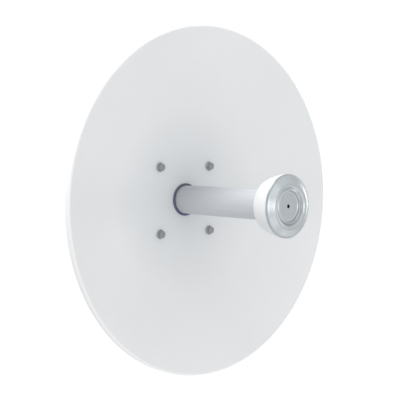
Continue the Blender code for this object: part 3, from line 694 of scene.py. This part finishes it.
def zinc_steel():
    """Dull plated steel: mottled grey, brighter where a spanner has rubbed."""
    material, tree = start_material("zinc_steel", 0.42, metallic=1.0)
    tones = (0.40, 0.41, 0.42), (0.31, 0.32, 0.33), (0.55, 0.56, 0.56)
    roughness = remap(tree, noise(tree, 600, 3), 0.34, 0.52)
    return clouded_finish(material, 350, tones, (0.53, 0.62), roughness, noise(tree, 2200, 3), 0.02 * MM)


def bracket_paint():
    """Pale grey powder coat on folded steel, rubbed at its edges."""
    material, tree = start_material("bracket_coat", 0.45)
    tones = (0.60, 0.62, 0.635), (0.56, 0.58, 0.60), (0.70, 0.71, 0.72)
    roughness = remap(tree, noise(tree, 150, 4), 0.38, 0.54)
    return clouded_finish(material, 18, tones, (0.67, 0.74), roughness, noise(tree, 650, 2), 0.06 * MM)


def cast_paint():
    """Pale grey paint with a fine cast grain."""
    material, tree = start_material("housing_cast", 0.50)
    tones = (0.70, 0.715, 0.725), (0.66, 0.675, 0.69), (0.78, 0.785, 0.79)
    roughness = remap(tree, noise(tree, 200, 4), 0.42, 0.60)
    grain = calculate(tree, "ADD", noise(tree, 1100, 4), noise(tree, 300, 2))
    return clouded_finish(material, 14, tones, (0.54, 0.64), roughness, grain, 0.07 * MM)


def seal_rubber():
    """Black moulded plastic and rubber with a dusty bloom."""
    material, tree = start_material("seal_black", 0.55)
    tones = (0.018, 0.018, 0.020), (0.040, 0.040, 0.043), (0.080, 0.080, 0.085)
    roughness = remap(tree, noise(tree, 500, 3), 0.46, 0.66)
    return clouded_finish(material, 60, tones, (0.54, 0.64), roughness, noise(tree, 1800, 3), 0.05 * MM)


# The front of the antenna

def lip_tilt(focal):
    """The angle by which the reflecting face leans at its rim."""
    return math.atan(REFLECTOR_R / (2 * focal))


def lip_drop(focal):
    """Depth of the reflecting face's rim behind the lip."""
    return LIP_ROUND * (1 - math.cos(lip_tilt(focal)))


def reflector_surface(radius, focal):
    """Depth behind the lip and slope of the reflecting face at a radius."""
    if radius >= BLEND_R:
        depth = lip_drop(focal) + (REFLECTOR_R ** 2 - radius ** 2) / (4 * focal)
        return depth, -radius / (2 * focal)
    into = max(0.0, radius - HUB_FLAT_R)
    span = BLEND_R - HUB_FLAT_R
    steepest = BLEND_R / (2 * focal)
    return HUB_DEPTH - steepest * into ** 2 / (2 * span), -steepest * into / span


def reflector_focal_length():
    """Focal length that puts the flat hub at its depth behind the lip."""
    ramp = (BLEND_R - HUB_FLAT_R) * BLEND_R / 4
    bowl = (REFLECTOR_R ** 2 - BLEND_R ** 2) / 4
    focal = REFLECTOR_R
    for _ in range(FOCAL_ROUNDS):
        focal = (ramp + bowl) / (HUB_DEPTH - lip_drop(focal))
    return focal


def make_dish(material, bolt_spots):
    """The reflector: flat hub, blended parabola, rounded lip and a band turned back."""
    focal = reflector_focal_length()
    radii = [HUB_HOLE_R, HUB_FLAT_R]
    for low, high, steps in ((HUB_FLAT_R, BLEND_R, BLEND_STEPS), (BLEND_R, REFLECTOR_R, DISH_STEPS)):
        radii += [low + (high - low) * k / steps for k in range(1, steps + 1)]
    front, back = [], []
    for radius in radii:
        depth, slope = reflector_surface(radius, focal)
        tilt = math.atan(-slope)
        front.append((radius, LIP_Y + depth))
        back.append((radius + SHEET * math.sin(tilt), LIP_Y + depth + SHEET * math.cos(tilt)))
    tilt = lip_tilt(focal)
    centre_r = REFLECTOR_R + LIP_ROUND * math.sin(tilt)
    centre_y = LIP_Y + LIP_ROUND
    for k in range(1, LIP_STEPS + 1):
        angle = -math.pi / 2 - tilt + (math.pi / 2 + tilt) * k / LIP_STEPS
        for line, reach in ((front, LIP_ROUND), (back, LIP_ROUND - SHEET)):
            line.append((centre_r + reach * math.cos(angle), centre_y + reach * math.sin(angle)))
    outer = centre_r + LIP_ROUND
    end = LIP_Y + BAND_DEPTH
    front += [(outer, end - BAND_EDGE), (outer - BAND_EDGE, end)]
    back += [(outer - SHEET, end - BAND_EDGE), (outer - SHEET + BAND_EDGE, end)]
    bm = lathe(front + back[::-1], DISH_SIDES)
    dish = add_piece("reflector_shell", bm, material, ["reflector_dish"], DISH_SHARP)
    drill(dish, bolt_spots, CLEAR_R, HUB_BACK_Y - SHEET - MM, HUB_BACK_Y + MM)
    smooth_faces(dish.data, DISH_SHARP)


def make_collar(material):
    """The dark ring in the hub's hole, flanged in front and rounded."""
    corners = [
        (COLLAR_BORE_R, COLLAR_LOW.y),
        (COLLAR_HIGH.x, COLLAR_LOW.y),
        (COLLAR_HIGH.x, COLLAR_SHOULDER_Y),
        (COLLAR_SPIGOT_R, COLLAR_SHOULDER_Y),
        (COLLAR_SPIGOT_R, COLLAR_HIGH.y),
        (COLLAR_BORE_R, COLLAR_HIGH.y),
    ]
    radii = [COLLAR_EDGE / 2, COLLAR_EDGE, COLLAR_EDGE / 4, 0, COLLAR_EDGE / 2, COLLAR_EDGE / 4]
    bm = lathe(rounded(corners, radii), FEED_SIDES)
    add_piece("hub_collar", bm, material, ["feed_collar"])


def make_tube(material):
    """The feed's tube, open at both ends with its edges eased."""
    wall = rectangle((TUBE_R - TUBE_WALL, TUBE_LOW.y), (TUBE_R, TUBE_HIGH.y), TUBE_EDGE)
    add_piece("feed_pipe", lathe(wall, FEED_SIDES), material, ["feed_tube"])


def cup_outer_radius(behind):
    """Outer radius of the cup at a distance behind the disc's outline."""
    return CUP_BACK_R + (DISC_R - CUP_BACK_R) * (1 - (behind / CUP_DEPTH) ** CUP_CURVE) - CUP_INSET


def make_cup(material):
    """The plastic bowl behind the disc, with a thick back wall that takes the tube's end."""
    rim = CUP_LOW.y - DISC_Y
    outer = []
    for k in range(CUP_STEPS):
        behind = rim + (CUP_DEPTH - rim) * k / CUP_STEPS
        outer.append((cup_outer_radius(behind), DISC_Y + behind))
    back_r = cup_outer_radius(CUP_DEPTH)
    shoulder_y = CUP_HIGH.y - TUBE_IN_CUP - GAP
    floor_y = CUP_HIGH.y - CUP_BACK_WALL
    corners = outer + [
        (back_r, CUP_HIGH.y),
        (COLLAR_BORE_R, CUP_HIGH.y),
        (COLLAR_BORE_R, shoulder_y),
        (CUP_BORE_R, shoulder_y),
        (CUP_BORE_R, floor_y),
        (cup_outer_radius(CUP_DEPTH - CUP_BACK_WALL) - CUP_WALL, floor_y),
        (cup_outer_radius(rim) - CUP_WALL, CUP_LOW.y),
    ]
    radii = [CUP_RIM_ROUND] + [0] * (CUP_STEPS - 1) + [CUP_EDGE, CUP_EDGE / 4, 0, 0, 0, CUP_EDGE / 2, 0]
    bm = lathe(rounded(corners, radii, 8), FEED_SIDES)
    add_piece("splash_cup", bm, material, ["subreflector_cup"])


def make_disc(material):
    """The pressed metal disc that closes the cup, with its round hole."""
    rings = [(radius * MM, DISC_Y - height * MM) for radius, height in DISC_RINGS]
    front = smooth_through(rings, DISC_STEPS)
    back = [(radius, y + DISC_SHEET) for radius, y in front]
    edge = DISC_EDGE_H
    front[-1:] = [(DISC_R - edge, front[-1][1]), (DISC_R, front[-1][1] + edge)]
    back[-1:] = [(DISC_R - edge, back[-1][1]), (DISC_R, back[-1][1] - edge)]
    bm = lathe(front + back[::-1], FEED_SIDES)
    add_piece("splash_disc", bm, material, ["subreflector_plate"], sharp=50)


# Fasteners, made with their seat at z = 0 and their head on the side of -Z

def round_ring(radius, height):
    """Points of a circle at a height."""
    return [(x, y, height) for x, y in circle(radius, FASTENER_SIDES)]


def hex_ring(height, limit, flats=HEX_FLATS):
    """Points of a hexagon at a height, with its corners cut back to a radius."""
    outline = turned_outline(lambda angle: hex_radius(angle, flats, limit), FASTENER_SIDES)
    return [(x, y, height) for x, y in outline]


def head_rings():
    """Rings up a flanged hex head, from its seat to the edge of its face."""
    rings = [
        round_ring(FLANGE_R - FLANGE_EDGE, 0),
        round_ring(FLANGE_R, -FLANGE_EDGE),
        round_ring(FLANGE_R, FLANGE_EDGE - FLANGE_EDGE_H),
        round_ring(FLANGE_R - FLANGE_EDGE, -FLANGE_EDGE_H),
        round_ring(FLANGE_SLOPE_R, -FLANGE_SLOPE_H),
        hex_ring(-HEX_FOOT_H, HEX_CORNER_R),
    ]
    for k in range(CHAMFER_STEPS + 1):
        share = k / CHAMFER_STEPS
        limit = HEX_CORNER_R + (HEX_FACE_R - HEX_CORNER_R) * share
        rings.append(hex_ring(-HEAD_H + CHAMFER_H * (1 - share), limit))
    return rings


def thread_ring(along):
    """Points round a screw thread at a distance along it."""
    points = []
    for k in range(FASTENER_SIDES):
        turn = (along / THREAD_PITCH - k / FASTENER_SIDES) % 1.0
        radius = THREAD_R - THREAD_DEPTH * (1 - abs(2 * turn - 1))
        angle = TURN * k / FASTENER_SIDES
        points.append((radius * math.cos(angle), radius * math.sin(angle), along))
    return points


def bolt_mesh(name, length, plain, material):
    """A flange bolt with a dimpled head, a plain neck and a cut thread."""
    rings = [round_ring(THREAD_R - THREAD_DEPTH, length)]
    count = round((length - plain) / THREAD_PITCH * THREAD_RINGS)
    for k in range(1, count):
        rings.append(thread_ring(length - (length - plain) * k / count))
    rings += [round_ring(THREAD_R, plain), round_ring(THREAD_R, 0)]
    rings += head_rings()
    rings += [
        round_ring(HEX_FACE_R - 2 * FLANGE_EDGE, -HEAD_H),
        round_ring(DIMPLE_R, -HEAD_H),
        round_ring(DIMPLE_R - DIMPLE_DEPTH, DIMPLE_DEPTH - HEAD_H),
    ]
    return finish_mesh(name, stack_rings(rings), material)


def nut_mesh(name, material):
    """A flanged hex nut with a chamfered bore."""
    rings = [round_ring(NUT_BORE_R, 0)]
    rings += head_rings()
    rings += [
        round_ring(NUT_BORE_R + 2 * FLANGE_EDGE, -HEAD_H),
        round_ring(NUT_BORE_R, 2 * FLANGE_EDGE - HEAD_H),
    ]
    return finish_mesh(name, stack_rings(rings, closed=True), material)


def socket_screw_mesh(name, material, shank_r, length, head_r, head_h, flats):
    """A button-head screw with a hexagon socket."""
    rings = [round_ring(shank_r, length), round_ring(shank_r, 0), round_ring(head_r, 0)]
    rings += [round_ring(head_r * across, -head_h * up) for across, up in SCREW_DOME]
    rings += [hex_ring(-head_h * up, head_r, flats) for up in (1.0, SCREW_SOCKET_SHARE)]
    return finish_mesh(name, stack_rings(rings), material)


def seat_matrix(seat, way, degrees):
    """Where a fastener goes: its seat, the way its shank points and its turn about it."""
    facing = Vector(way).to_track_quat("Z", "Y")
    turn = Quaternion((0, 0, 1), math.radians(degrees) * (way[0] - way[1]))
    return Matrix.Translation(seat) @ (facing @ turn).to_matrix().to_4x4()


def middle(node):
    """The middle of a node's box."""
    low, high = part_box(node)
    return (low + high) / 2


def seat_of(node, way, depth=0.0):
    """The middle of a node, moved along an axis to its seat, a depth in from where it starts."""
    low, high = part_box(node)
    seat = middle(node)
    for k in range(3):
        if way[k] > 0:
            seat[k] = low[k] + depth
        if way[k] < 0:
            seat[k] = high[k] - depth
    return seat


def fasten(name, node, mesh, way, depth, degrees):
    """A bolt, whose head lies before its seat along way, or a nut, whose seat faces along it."""
    back = tuple(-part for part in way)
    seat = seat_of(node, way, depth) if depth else seat_of(node, back)
    place_piece(name, mesh, seat_matrix(seat, way, degrees), [node])


def make_fasteners(material):
    """Every bolt, nut and washer of the dish and its brackets."""
    nut = nut_mesh("flange_nut", material)
    low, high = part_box("dish_bolt_upper_left")
    bolt = bolt_mesh("flange_bolt", high.y - low.y - HEAD_H, BOLT_NECK, material)
    for corner, degrees in DISH_BOLT_TURNS.items():
        fasten(f"hub_bolt_{corner}", f"dish_bolt_{corner}", bolt, (0, 1, 0), HEAD_H, degrees)
        fasten(f"hub_nut_{corner}", f"dish_nut_{corner}", nut, (0, -1, 0), 0, degrees)
        fasten(f"clamp_nut_{corner}", f"pole_nut_{corner}", nut, (0, 1, 0), 0, POLE_NUT_TURN)
    for hand, side in HANDS.items():
        for role in ("pivot", "lock"):
            way = (-side, 0, 0)
            fasten(f"side_{role}_bolt_{hand}", f"{role}_bolt_{hand}", bolt, way, HEAD_H, SIDE_BOLT_TURN)
            way = (side, 0, 0)
            fasten(f"side_{role}_nut_{hand}", f"{role}_nut_{hand}", nut, way, 0, SIDE_NUT_TURN)
        make_washer(f"lock_washer_{hand}", material)


def make_washer(node, material):
    """A flat washer with eased edges, standing on X."""
    low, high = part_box(node)
    centre = ((low.y + high.y) / 2, (low.z + high.z) / 2)
    section = rectangle((NUT_BORE_R, low.x), ((high.y - low.y) / 2, high.x), WASHER_EDGE)
    rings = [[(x, y, z) for y, z in circle(radius, WASHER_SIDES, centre)] for radius, x in section]
    piece = node.replace("lock_washer", "side_washer")
    add_piece(piece, stack_rings(rings, closed=True), material, [node])


def make_ubolt(level, height, material):
    """A bent rod that holds the pole, with a thread cut on both its legs."""
    low_y = UBOLT_LOW.y
    count = round((UBOLT_THREAD_END_Y - low_y) / THREAD_PITCH * THREAD_RINGS)
    threaded = [low_y + (UBOLT_THREAD_END_Y - low_y) * k / count for k in range(1, count)]
    legs = {}
    for side in (-1, 1):
        outlines = [(low_y, round_ring(THREAD_R - THREAD_DEPTH, 0))]
        outlines += [(along, thread_ring(side * along)) for along in threaded]
        outlines += [(along, round_ring(THREAD_R, 0)) for along in (UBOLT_THREAD_END_Y, UBOLT_STRAIGHT_Y)]
        legs[side] = [
            [(side * (UBOLT_HALF_PITCH - across), along, height + up) for across, up, _ in outline]
            for along, outline in outlines
        ]
    rings = legs[-1] + bend_rings(height) + legs[1][::-1]
    add_piece(f"clamp_ubolt_{level}", stack_rings(rings), material, [f"pole_ubolt_{level}"])


def bend_rings(height):
    """Rings round the half circle of a U-bolt, from its left leg to its right."""
    rings = []
    for k in range(1, UBOLT_BEND_STEPS):
        angle = math.pi * k / UBOLT_BEND_STEPS
        ring = []
        for across, up, _ in round_ring(THREAD_R, 0):
            reach = UBOLT_HALF_PITCH - across
            ring.append((
                -reach * math.cos(angle), UBOLT_STRAIGHT_Y + reach * math.sin(angle), height + up
            ))
        rings.append(ring)
    return rings


# Brackets behind the dish

def channel(name, half_w, sheet, web_outer, web_inner, ear_end, half_h, material, node):
    """A folded channel standing along Z, its web between two faces and its ears out to ear_end."""
    inside = half_w - sheet
    corners = [
        (half_w, ear_end),
        (half_w, web_outer),
        (-half_w, web_outer),
        (-half_w, ear_end),
        (-inside, ear_end),
        (-inside, web_inner),
        (inside, web_inner),
        (inside, ear_end),
    ]
    inner_bend = BEND_R - sheet
    radii = [0, BEND_R, BEND_R, 0, 0, inner_bend, inner_bend, 0]
    bm = prism(rounded(corners, radii, 10), "Z", -half_h, half_h)
    return add_piece(name, bm, material, [node])


def slot_outline(width):
    """The curved slot for the lock bolt, in y and z, about the pivot."""
    sides = []
    for reach, order in ((LOCK_REACH + width / 2, 1), (LOCK_REACH - width / 2, -1)):
        for k in range(SLOT_STEPS + 1):
            degrees = order * SLOT_HALF_ANGLE * (1 - 2 * k / SLOT_STEPS)
            sides.append(about_pivot(reach, degrees))
    return sides


def about_pivot(reach, degrees):
    """A point in y and z, at a distance and an angle from the pivot."""
    angle = math.radians(degrees)
    return PIVOT_Y - reach * math.sin(angle), PIVOT_Z + reach * math.cos(angle)


def trim_ears(bracket, outline, corner_r, reach):
    """Trim both ears to an outline in y and z, rounded at all but its first and last points."""
    radii = [0] + [corner_r] * (len(outline) - 2) + [0]
    shape_with(bracket, prism(rounded(outline, radii, 10), "X", -reach, reach), "INTERSECT")


def make_dish_bracket(material, mark_material, bolt_spots):
    """Channel behind the hub, with ears that carry the pivot and the curved slot."""
    half_w, half_h = BRACKET_HIGH.x, BRACKET_HIGH.z
    front, ear_end = BRACKET_LOW.y, BRACKET_HIGH.y
    bracket = channel(
        "tilt_bracket", half_w, CHANNEL_T, front, WEB_BACK_Y, ear_end, half_h, material, "dish_bracket"
    )
    trim = [
        (front - MM, -half_h),
        (front + EAR_FOOT_DEPTH, -half_h),
        (PIVOT_Y - EAR_AHEAD_OF_PIVOT, PIVOT_Z - EAR_BELOW_PIVOT),
        (EAR_CHIN_Y, PIVOT_Z - EAR_BELOW_PIVOT),
        (PIVOT_Y + EAR_BEHIND_PIVOT, PIVOT_Z + EAR_ABOVE_PIVOT),
        (EAR_NECK_Y, EAR_NECK_Z),
        (ear_end, EAR_SLOT_LOW_Z),
        (ear_end, EAR_SLOT_HIGH_Z),
        (EAR_BROW_Y, EAR_BROW_Z),
        (front + EAR_HEAD_DEPTH, half_h),
        (front - MM, half_h),
    ]
    reach = half_w + MM
    trim_ears(bracket, trim, EAR_CORNER_R, reach)
    low, high = front - MM, WEB_BACK_Y + MM
    drill(bracket, bolt_spots, CLEAR_R, low, high)
    drill(bracket, [(0, 0)], WEB_HOLE_R, low, high, sides=FEED_SIDES)
    drill(bracket, TAB_SCREW_SPOTS, SCREW_HOLE_R, low, high)
    drill(bracket, [(PIVOT_Y, PIVOT_Z)], CLEAR_R, -reach, reach, axis="X")
    shape_with(bracket, prism(slot_outline(2 * CLEAR_R), "X", -reach, reach))
    ease_edges(bracket, SHEET_EDGE)
    make_marks(mark_material)


def make_marks(material):
    """Fine elevation marks on both ears, past the washer, with the longer ones every ten degrees."""
    for hand, side in HANDS.items():
        marks = bmesh.new()
        for k in range(-MARKS_EACH_WAY, MARKS_EACH_WAY + 1):
            degrees = MARK_STEP * k
            length = MARK_LENGTH if degrees % LONG_MARK_STEP else LONG_MARK_LENGTH
            y, z = about_pivot(MARK_START + length / 2, degrees)
            bar = bmesh.ops.create_cube(marks, size=1.0)["verts"]
            place = Matrix.Translation((side * BRACKET_HIGH.x, y, z))
            place @= Matrix.Rotation(math.radians(degrees), 4, "X")
            place @= Matrix.Diagonal((2 * MARK_RISE, MARK_WIDTH, length, 1))
            bmesh.ops.transform(marks, matrix=place, verts=bar)
        add_piece(f"tilt_marks_{hand}", marks, material)


def make_pole_bracket(material):
    """Channel whose web lies flat on the pole and whose ears hold the dish bracket."""
    half_w, half_h, ear_end = POLE_HIGH.x, POLE_HIGH.z, POLE_LOW.y
    bracket = channel(
        "clamp_bracket", half_w, POLE_T, 0.0, -POLE_T, ear_end, half_h, material, "pole_bracket"
    )
    lower = [
        (MM, -half_h),
        (POLE_EAR_FOOT_Y, -half_h),
        (PIVOT_Y, PIVOT_Z - POLE_EAR_HALF_H),
        (ear_end, PIVOT_Z - POLE_EAR_HALF_H),
        (ear_end, PIVOT_Z + POLE_EAR_HALF_H),
        (EAR_NECK_Y, PIVOT_Z + POLE_NOTCH_HALF_H),
    ]
    reach = half_w + MM
    trim_ears(bracket, lower + [(y, -z) for y, z in reversed(lower)], POLE_EAR_CORNER_R, reach)
    legs = [(side * UBOLT_HALF_PITCH, level * UBOLT_Z) for level in (1, -1) for side in (-1, 1)]
    drill(bracket, legs, CLEAR_R, -POLE_T - MM, MM)
    ears = [(PIVOT_Y, PIVOT_Z), (PIVOT_Y, PIVOT_Z + LOCK_REACH)]
    drill(bracket, ears, CLEAR_R, -reach, reach, axis="X")
    ease_edges(bracket, SHEET_EDGE)


# Radio housing

def make_housing(material):
    """The cast body, with its tabs, and the boss that takes the tube's end."""
    front, boss_front = HOUSING_FRONT_Y, HOUSING_LOW.y
    low = (-HOUSING_HALF_W, front, HOUSING_LOW.z)
    high = (HOUSING_HALF_W, HOUSING_HIGH.y, HOUSING_HIGH.z)
    case = bevelled_box(low, high, HOUSING_EDGE)
    body = add_piece("radio_case", case, material, ["radio_housing"])
    tab_reach = HOUSING_HIGH.x
    tabs = rectangle((-tab_reach, -TAB_HALF_H), (tab_reach, TAB_HALF_H), TAB_CORNER_R, 8)
    shape_with(body, prism(tabs, "Y", front, front + TAB_T), "UNION")
    boss = circle(BOSS_R, FEED_SIDES)
    shape_with(body, prism(boss, "Y", boss_front, front + BOSS_ROOT), "UNION")
    drill(body, [(0, 0)], SOCKET_R, boss_front - MM, front + SOCKET_DEPTH, sides=FEED_SIDES)
    drill(body, TAB_SCREW_SPOTS, SCREW_HOLE_R, front - MM, front + TAB_T + MM)
    ease_edges(body, CAST_EDGE)


def make_cover(material, seal_material, steel):
    """The lid with upright cooling fins, its gasket and the screws round it."""
    front = COVER_LOW.y
    low, high = (COVER_LOW.x, COVER_LOW.z), (COVER_HIGH.x, COVER_HIGH.z)
    outline = rectangle(low, high, COVER_CORNER_R, 10)
    lid = prism(outline, "Y", front, front + COVER_T)
    cover = add_piece("radio_cover", lid, material, ["housing_cover"])
    for k in range(FIN_COUNT):
        shape_with(cover, fin((k - (FIN_COUNT - 1) / 2) * FIN_PITCH), "UNION")
    ease_edges(cover, CAST_EDGE)
    seal = prism(outline, "Y", HOUSING_HIGH.y, front)
    add_piece("radio_gasket", seal, seal_material)
    make_cover_screws(steel)


def fin(x):
    """A cooling fin that stands in the lid and narrows towards its tip."""
    bottom, top = COVER_LOW.z + FIN_END_BOTTOM, COVER_HIGH.z - FIN_END_TOP
    root = (COVER_LOW.y + COVER_T / 2, FIN_ROOT_T, 0.0)
    tip = (COVER_HIGH.y, FIN_TIP_T, FIN_SLOPE)
    rings = []
    for y, thick, inset in (root, tip):
        low, high = (x - thick / 2, bottom + inset), (x + thick / 2, top - inset)
        outline = rectangle(low, high, thick * FIN_CORNER_SHARE, 4)
        rings.append([(a, y, b) for a, b in outline])
    return stack_rings(rings)


def make_cover_screws(steel):
    """Three screws down each side of the lid."""
    screw = socket_screw_mesh("cover_screw", steel, **COVER_SCREW)
    x = COVER_HIGH.x - COVER_SCREW_INSET
    levels = {
        "upper": COVER_HIGH.z - COVER_SCREW_INSET,
        "middle": (COVER_LOW.z + COVER_HIGH.z) / 2,
        "lower": COVER_LOW.z + COVER_SCREW_INSET,
    }
    for level, z in levels.items():
        for hand, side in HANDS.items():
            seat = (side * x, COVER_LOW.y + COVER_T, z)
            matrix = seat_matrix(seat, (0, -1, 0), COVER_SCREW_TURN * side)
            place_piece(f"cover_screw_{level}_{hand}", screw, matrix)


def make_tab_screws(steel):
    """The two screws that hold the housing to the bracket."""
    low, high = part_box("housing_screw_left")
    head_h = TAB_SCREW["head_h"]
    screw = socket_screw_mesh("tab_screw", steel, length=high.y - low.y - head_h, **TAB_SCREW)
    for hand in HANDS:
        seat = seat_of(f"housing_screw_{hand}", (0, -1, 0), head_h)
        matrix = seat_matrix(seat, (0, -1, 0), TAB_SCREW_TURN)
        place_piece(f"tab_screw_{hand}", screw, matrix, [f"housing_screw_{hand}"])


def make_port_cover(material):
    """The moulded cap over the ports, with finger grips cut in its rear face."""
    box = bevelled_box(PORT_LOW, PORT_HIGH, PORT_EDGE)
    cap = add_piece("port_cap", box, material, ["port_cover"])
    middle_x = (PORT_LOW.x + PORT_HIGH.x) / 2
    for k in range(GRIP_COUNT):
        x = middle_x + (k - (GRIP_COUNT - 1) / 2) * GRIP_PITCH
        low = (x - GRIP_WIDTH / 2, PORT_LOW.z + GRIP_EDGE)
        high = (x + GRIP_WIDTH / 2, PORT_HIGH.z - GRIP_EDGE)
        shape_with(cap, prism(rectangle(low, high), "Y", PORT_HIGH.y - GRIP_DEPTH, PORT_HIGH.y + MM))
    smooth_faces(cap.data)


def make_gland(material):
    """Cable gland with its blanking plug: a hexagon, then a ribbed nut that narrows to the plug."""
    centre = ((GLAND_LOW.x + GLAND_HIGH.x) / 2, (GLAND_LOW.y + GLAND_HIGH.y) / 2)
    top, bottom = GLAND_HIGH.z, GLAND_LOW.z
    hex_end, nut_end = top - GLAND_HEX_H, top - GLAND_NUT_H
    flat = GLAND_FLATS / 2
    corner = flat / math.cos(SIXTH / 2)
    rows = [
        (round_shape, flat, top),
        (hex_shape, flat + GLAND_HEX_EASE, top),
        (hex_shape, corner, top - GLAND_CHAMFER),
        (hex_shape, corner, hex_end + GLAND_CHAMFER),
        (hex_shape, flat + GLAND_HEX_EASE, hex_end),
        (round_shape, GLAND_NUT_R, hex_end),
        (round_shape, GLAND_NUT_R, hex_end - GLAND_CHAMFER),
        (ribbed_shape, GLAND_NUT_R, hex_end - 2 * GLAND_CHAMFER),
        (ribbed_shape, GLAND_NUT_R, nut_end),
    ]
    for k in range(1, GLAND_TAPER_STEPS + 1):
        share = k / GLAND_TAPER_STEPS
        shape = ribbed_shape if k <= GLAND_RIBBED_STEPS else round_shape
        radius = GLAND_NUT_R + (GLAND_END_R - GLAND_NUT_R) * share ** GLAND_TAPER_CURVE
        rows.append((shape, radius, nut_end + (bottom - nut_end) * share * GLAND_TAPER_SHARE))
    rows.append((round_shape, GLAND_END_R - GLAND_CHAMFER, bottom))
    rings = [
        [(x, y, height) for x, y in turned_outline(shape(radius), GLAND_SIDES, centre)]
        for shape, radius, height in rows
    ]
    add_piece("port_gland", stack_rings(rings), material, ["cable_gland"], sharp=30)


def round_shape(radius):
    """A plain circle, as a radius at each angle."""
    return lambda angle: radius


def hex_shape(limit):
    """The gland's hexagon, as a radius at each angle."""
    return lambda angle: hex_radius(angle, GLAND_FLATS, limit)


def ribbed_shape(radius):
    """The gland's ribbed nut, as a radius at each angle."""
    return lambda angle: radius - GLAND_RIB_DEPTH * (0.5 - 0.5 * math.cos(GLAND_RIBS * angle))


# Camera, lights and the plain surroundings

def make_camera():
    """The camera, at the photograph's viewing angle."""
    data = bpy.data.cameras.new("camera")
    data.sensor_width = SENSOR_MM
    data.lens = FOCAL_PIXELS / FRAME_PIXELS * SENSOR_MM
    data.clip_start, data.clip_end = CLIP_START, CLIP_END
    camera = add_object("camera", data)
    aim(camera, CAMERA_AT, direction(AZIMUTH, ELEVATION))
    bpy.context.scene.camera = camera


def make_lights():
    """Soft panels round the antenna over a dim even world."""
    world = bpy.data.worlds.new("studio")
    bpy.context.scene.world = world
    world.use_nodes = True
    background = world.node_tree.nodes["Background"]
    background.inputs["Color"].default_value = (1, 1, 1, 1)
    background.inputs["Strength"].default_value = WORLD_STRENGTH
    for name, (azimuth, elevation, size, watts) in PANELS.items():
        data = bpy.data.lights.new(name, "AREA")
        data.shape = "DISK"
        data.size = size
        data.energy = watts
        panel = add_object(name, data)
        way = direction(math.radians(azimuth), math.radians(elevation))
        aim(panel, PANEL_CENTRE + way * PANEL_DISTANCE, way)
        panel.visible_camera = False


def aim(thing, place, way):
    """Set a camera or a light in its place, facing back against the way that leads to it."""
    thing.location = place
    thing.rotation_mode = "QUATERNION"
    thing.rotation_quaternion = (-way).to_track_quat("-Z", "Y")


def direction(azimuth, elevation):
    """The way from the antenna at an azimuth, from straight in front, and an elevation."""
    return Vector((
        math.sin(azimuth) * math.cos(elevation),
        -math.cos(azimuth) * math.cos(elevation),
        math.sin(elevation),
    ))


def make_stage():
    """A plain pale floor well below the antenna, and a plain white surround that only the camera sees."""
    bm = bmesh.new()
    bmesh.ops.create_circle(bm, cap_ends=True, segments=FLOOR_SIDES, radius=FLOOR_R)
    floor = add_surround("floor", bm, FLOOR_GREY, 0.9)
    floor.location = (0, 0, FLOOR_Z)
    tree = floor.active_material.node_tree
    place = add_node(tree, "ShaderNodeVectorMath", {0: part_coordinates(tree)}, operation="LENGTH")
    tone = remap(tree, place.outputs["Value"], FLOOR_TONE, FLOOR_EDGE_TONE, 0.0, FLOOR_FADE_R)
    tree.links.new(tone, tree.nodes["Principled BSDF"].inputs["Emission Strength"])
    bm = bmesh.new()
    bmesh.ops.create_icosphere(bm, subdivisions=DOME_CUTS, radius=DOME_R)
    add_surround("surround", bm, 0.0, 1.0)


def add_surround(name, bm, grey, roughness):
    """A plain glowing surface that the camera sees and that sends no light to the antenna."""
    material, tree = start_material(name, roughness)
    inputs = tree.nodes["Principled BSDF"].inputs
    inputs["Base Color"].default_value = (grey, grey, grey, 1.0)
    inputs["Emission Color"].default_value = (1, 1, 1, 1)
    inputs["Emission Strength"].default_value = FLOOR_EDGE_TONE
    made = add_object(name, mesh_of(name, bm))
    made.data.materials.append(material)
    for rays in ("diffuse", "glossy", "transmission", "volume_scatter", "shadow"):
        setattr(made, f"visible_{rays}", False)
    return made


def dish_bolt_spots():
    """The four dish bolts, as x and z."""
    spots = [middle(f"dish_bolt_{corner}") for corner in DISH_BOLT_TURNS]
    return [(spot.x, spot.z) for spot in spots]


make_camera()
make_lights()
make_stage()
bpy.context.scene.view_settings.view_transform = "Standard"
steel, coated, cast, seal = zinc_steel(), bracket_paint(), cast_paint(), seal_rubber()
bolt_spots = dish_bolt_spots()
make_dish(dish_paint(), bolt_spots)
make_collar(collar_plastic())
make_tube(tube_paint())
make_cup(cup_plastic())
make_disc(disc_metal())
make_fasteners(steel)
make_ubolt("upper", UBOLT_Z, steel)
make_ubolt("lower", -UBOLT_Z, steel)
make_dish_bracket(coated, seal, bolt_spots)
make_pole_bracket(coated)
make_housing(cast)
make_cover(cast, seal, steel)
make_tab_screws(steel)
make_port_cover(seal)
make_gland(seal)
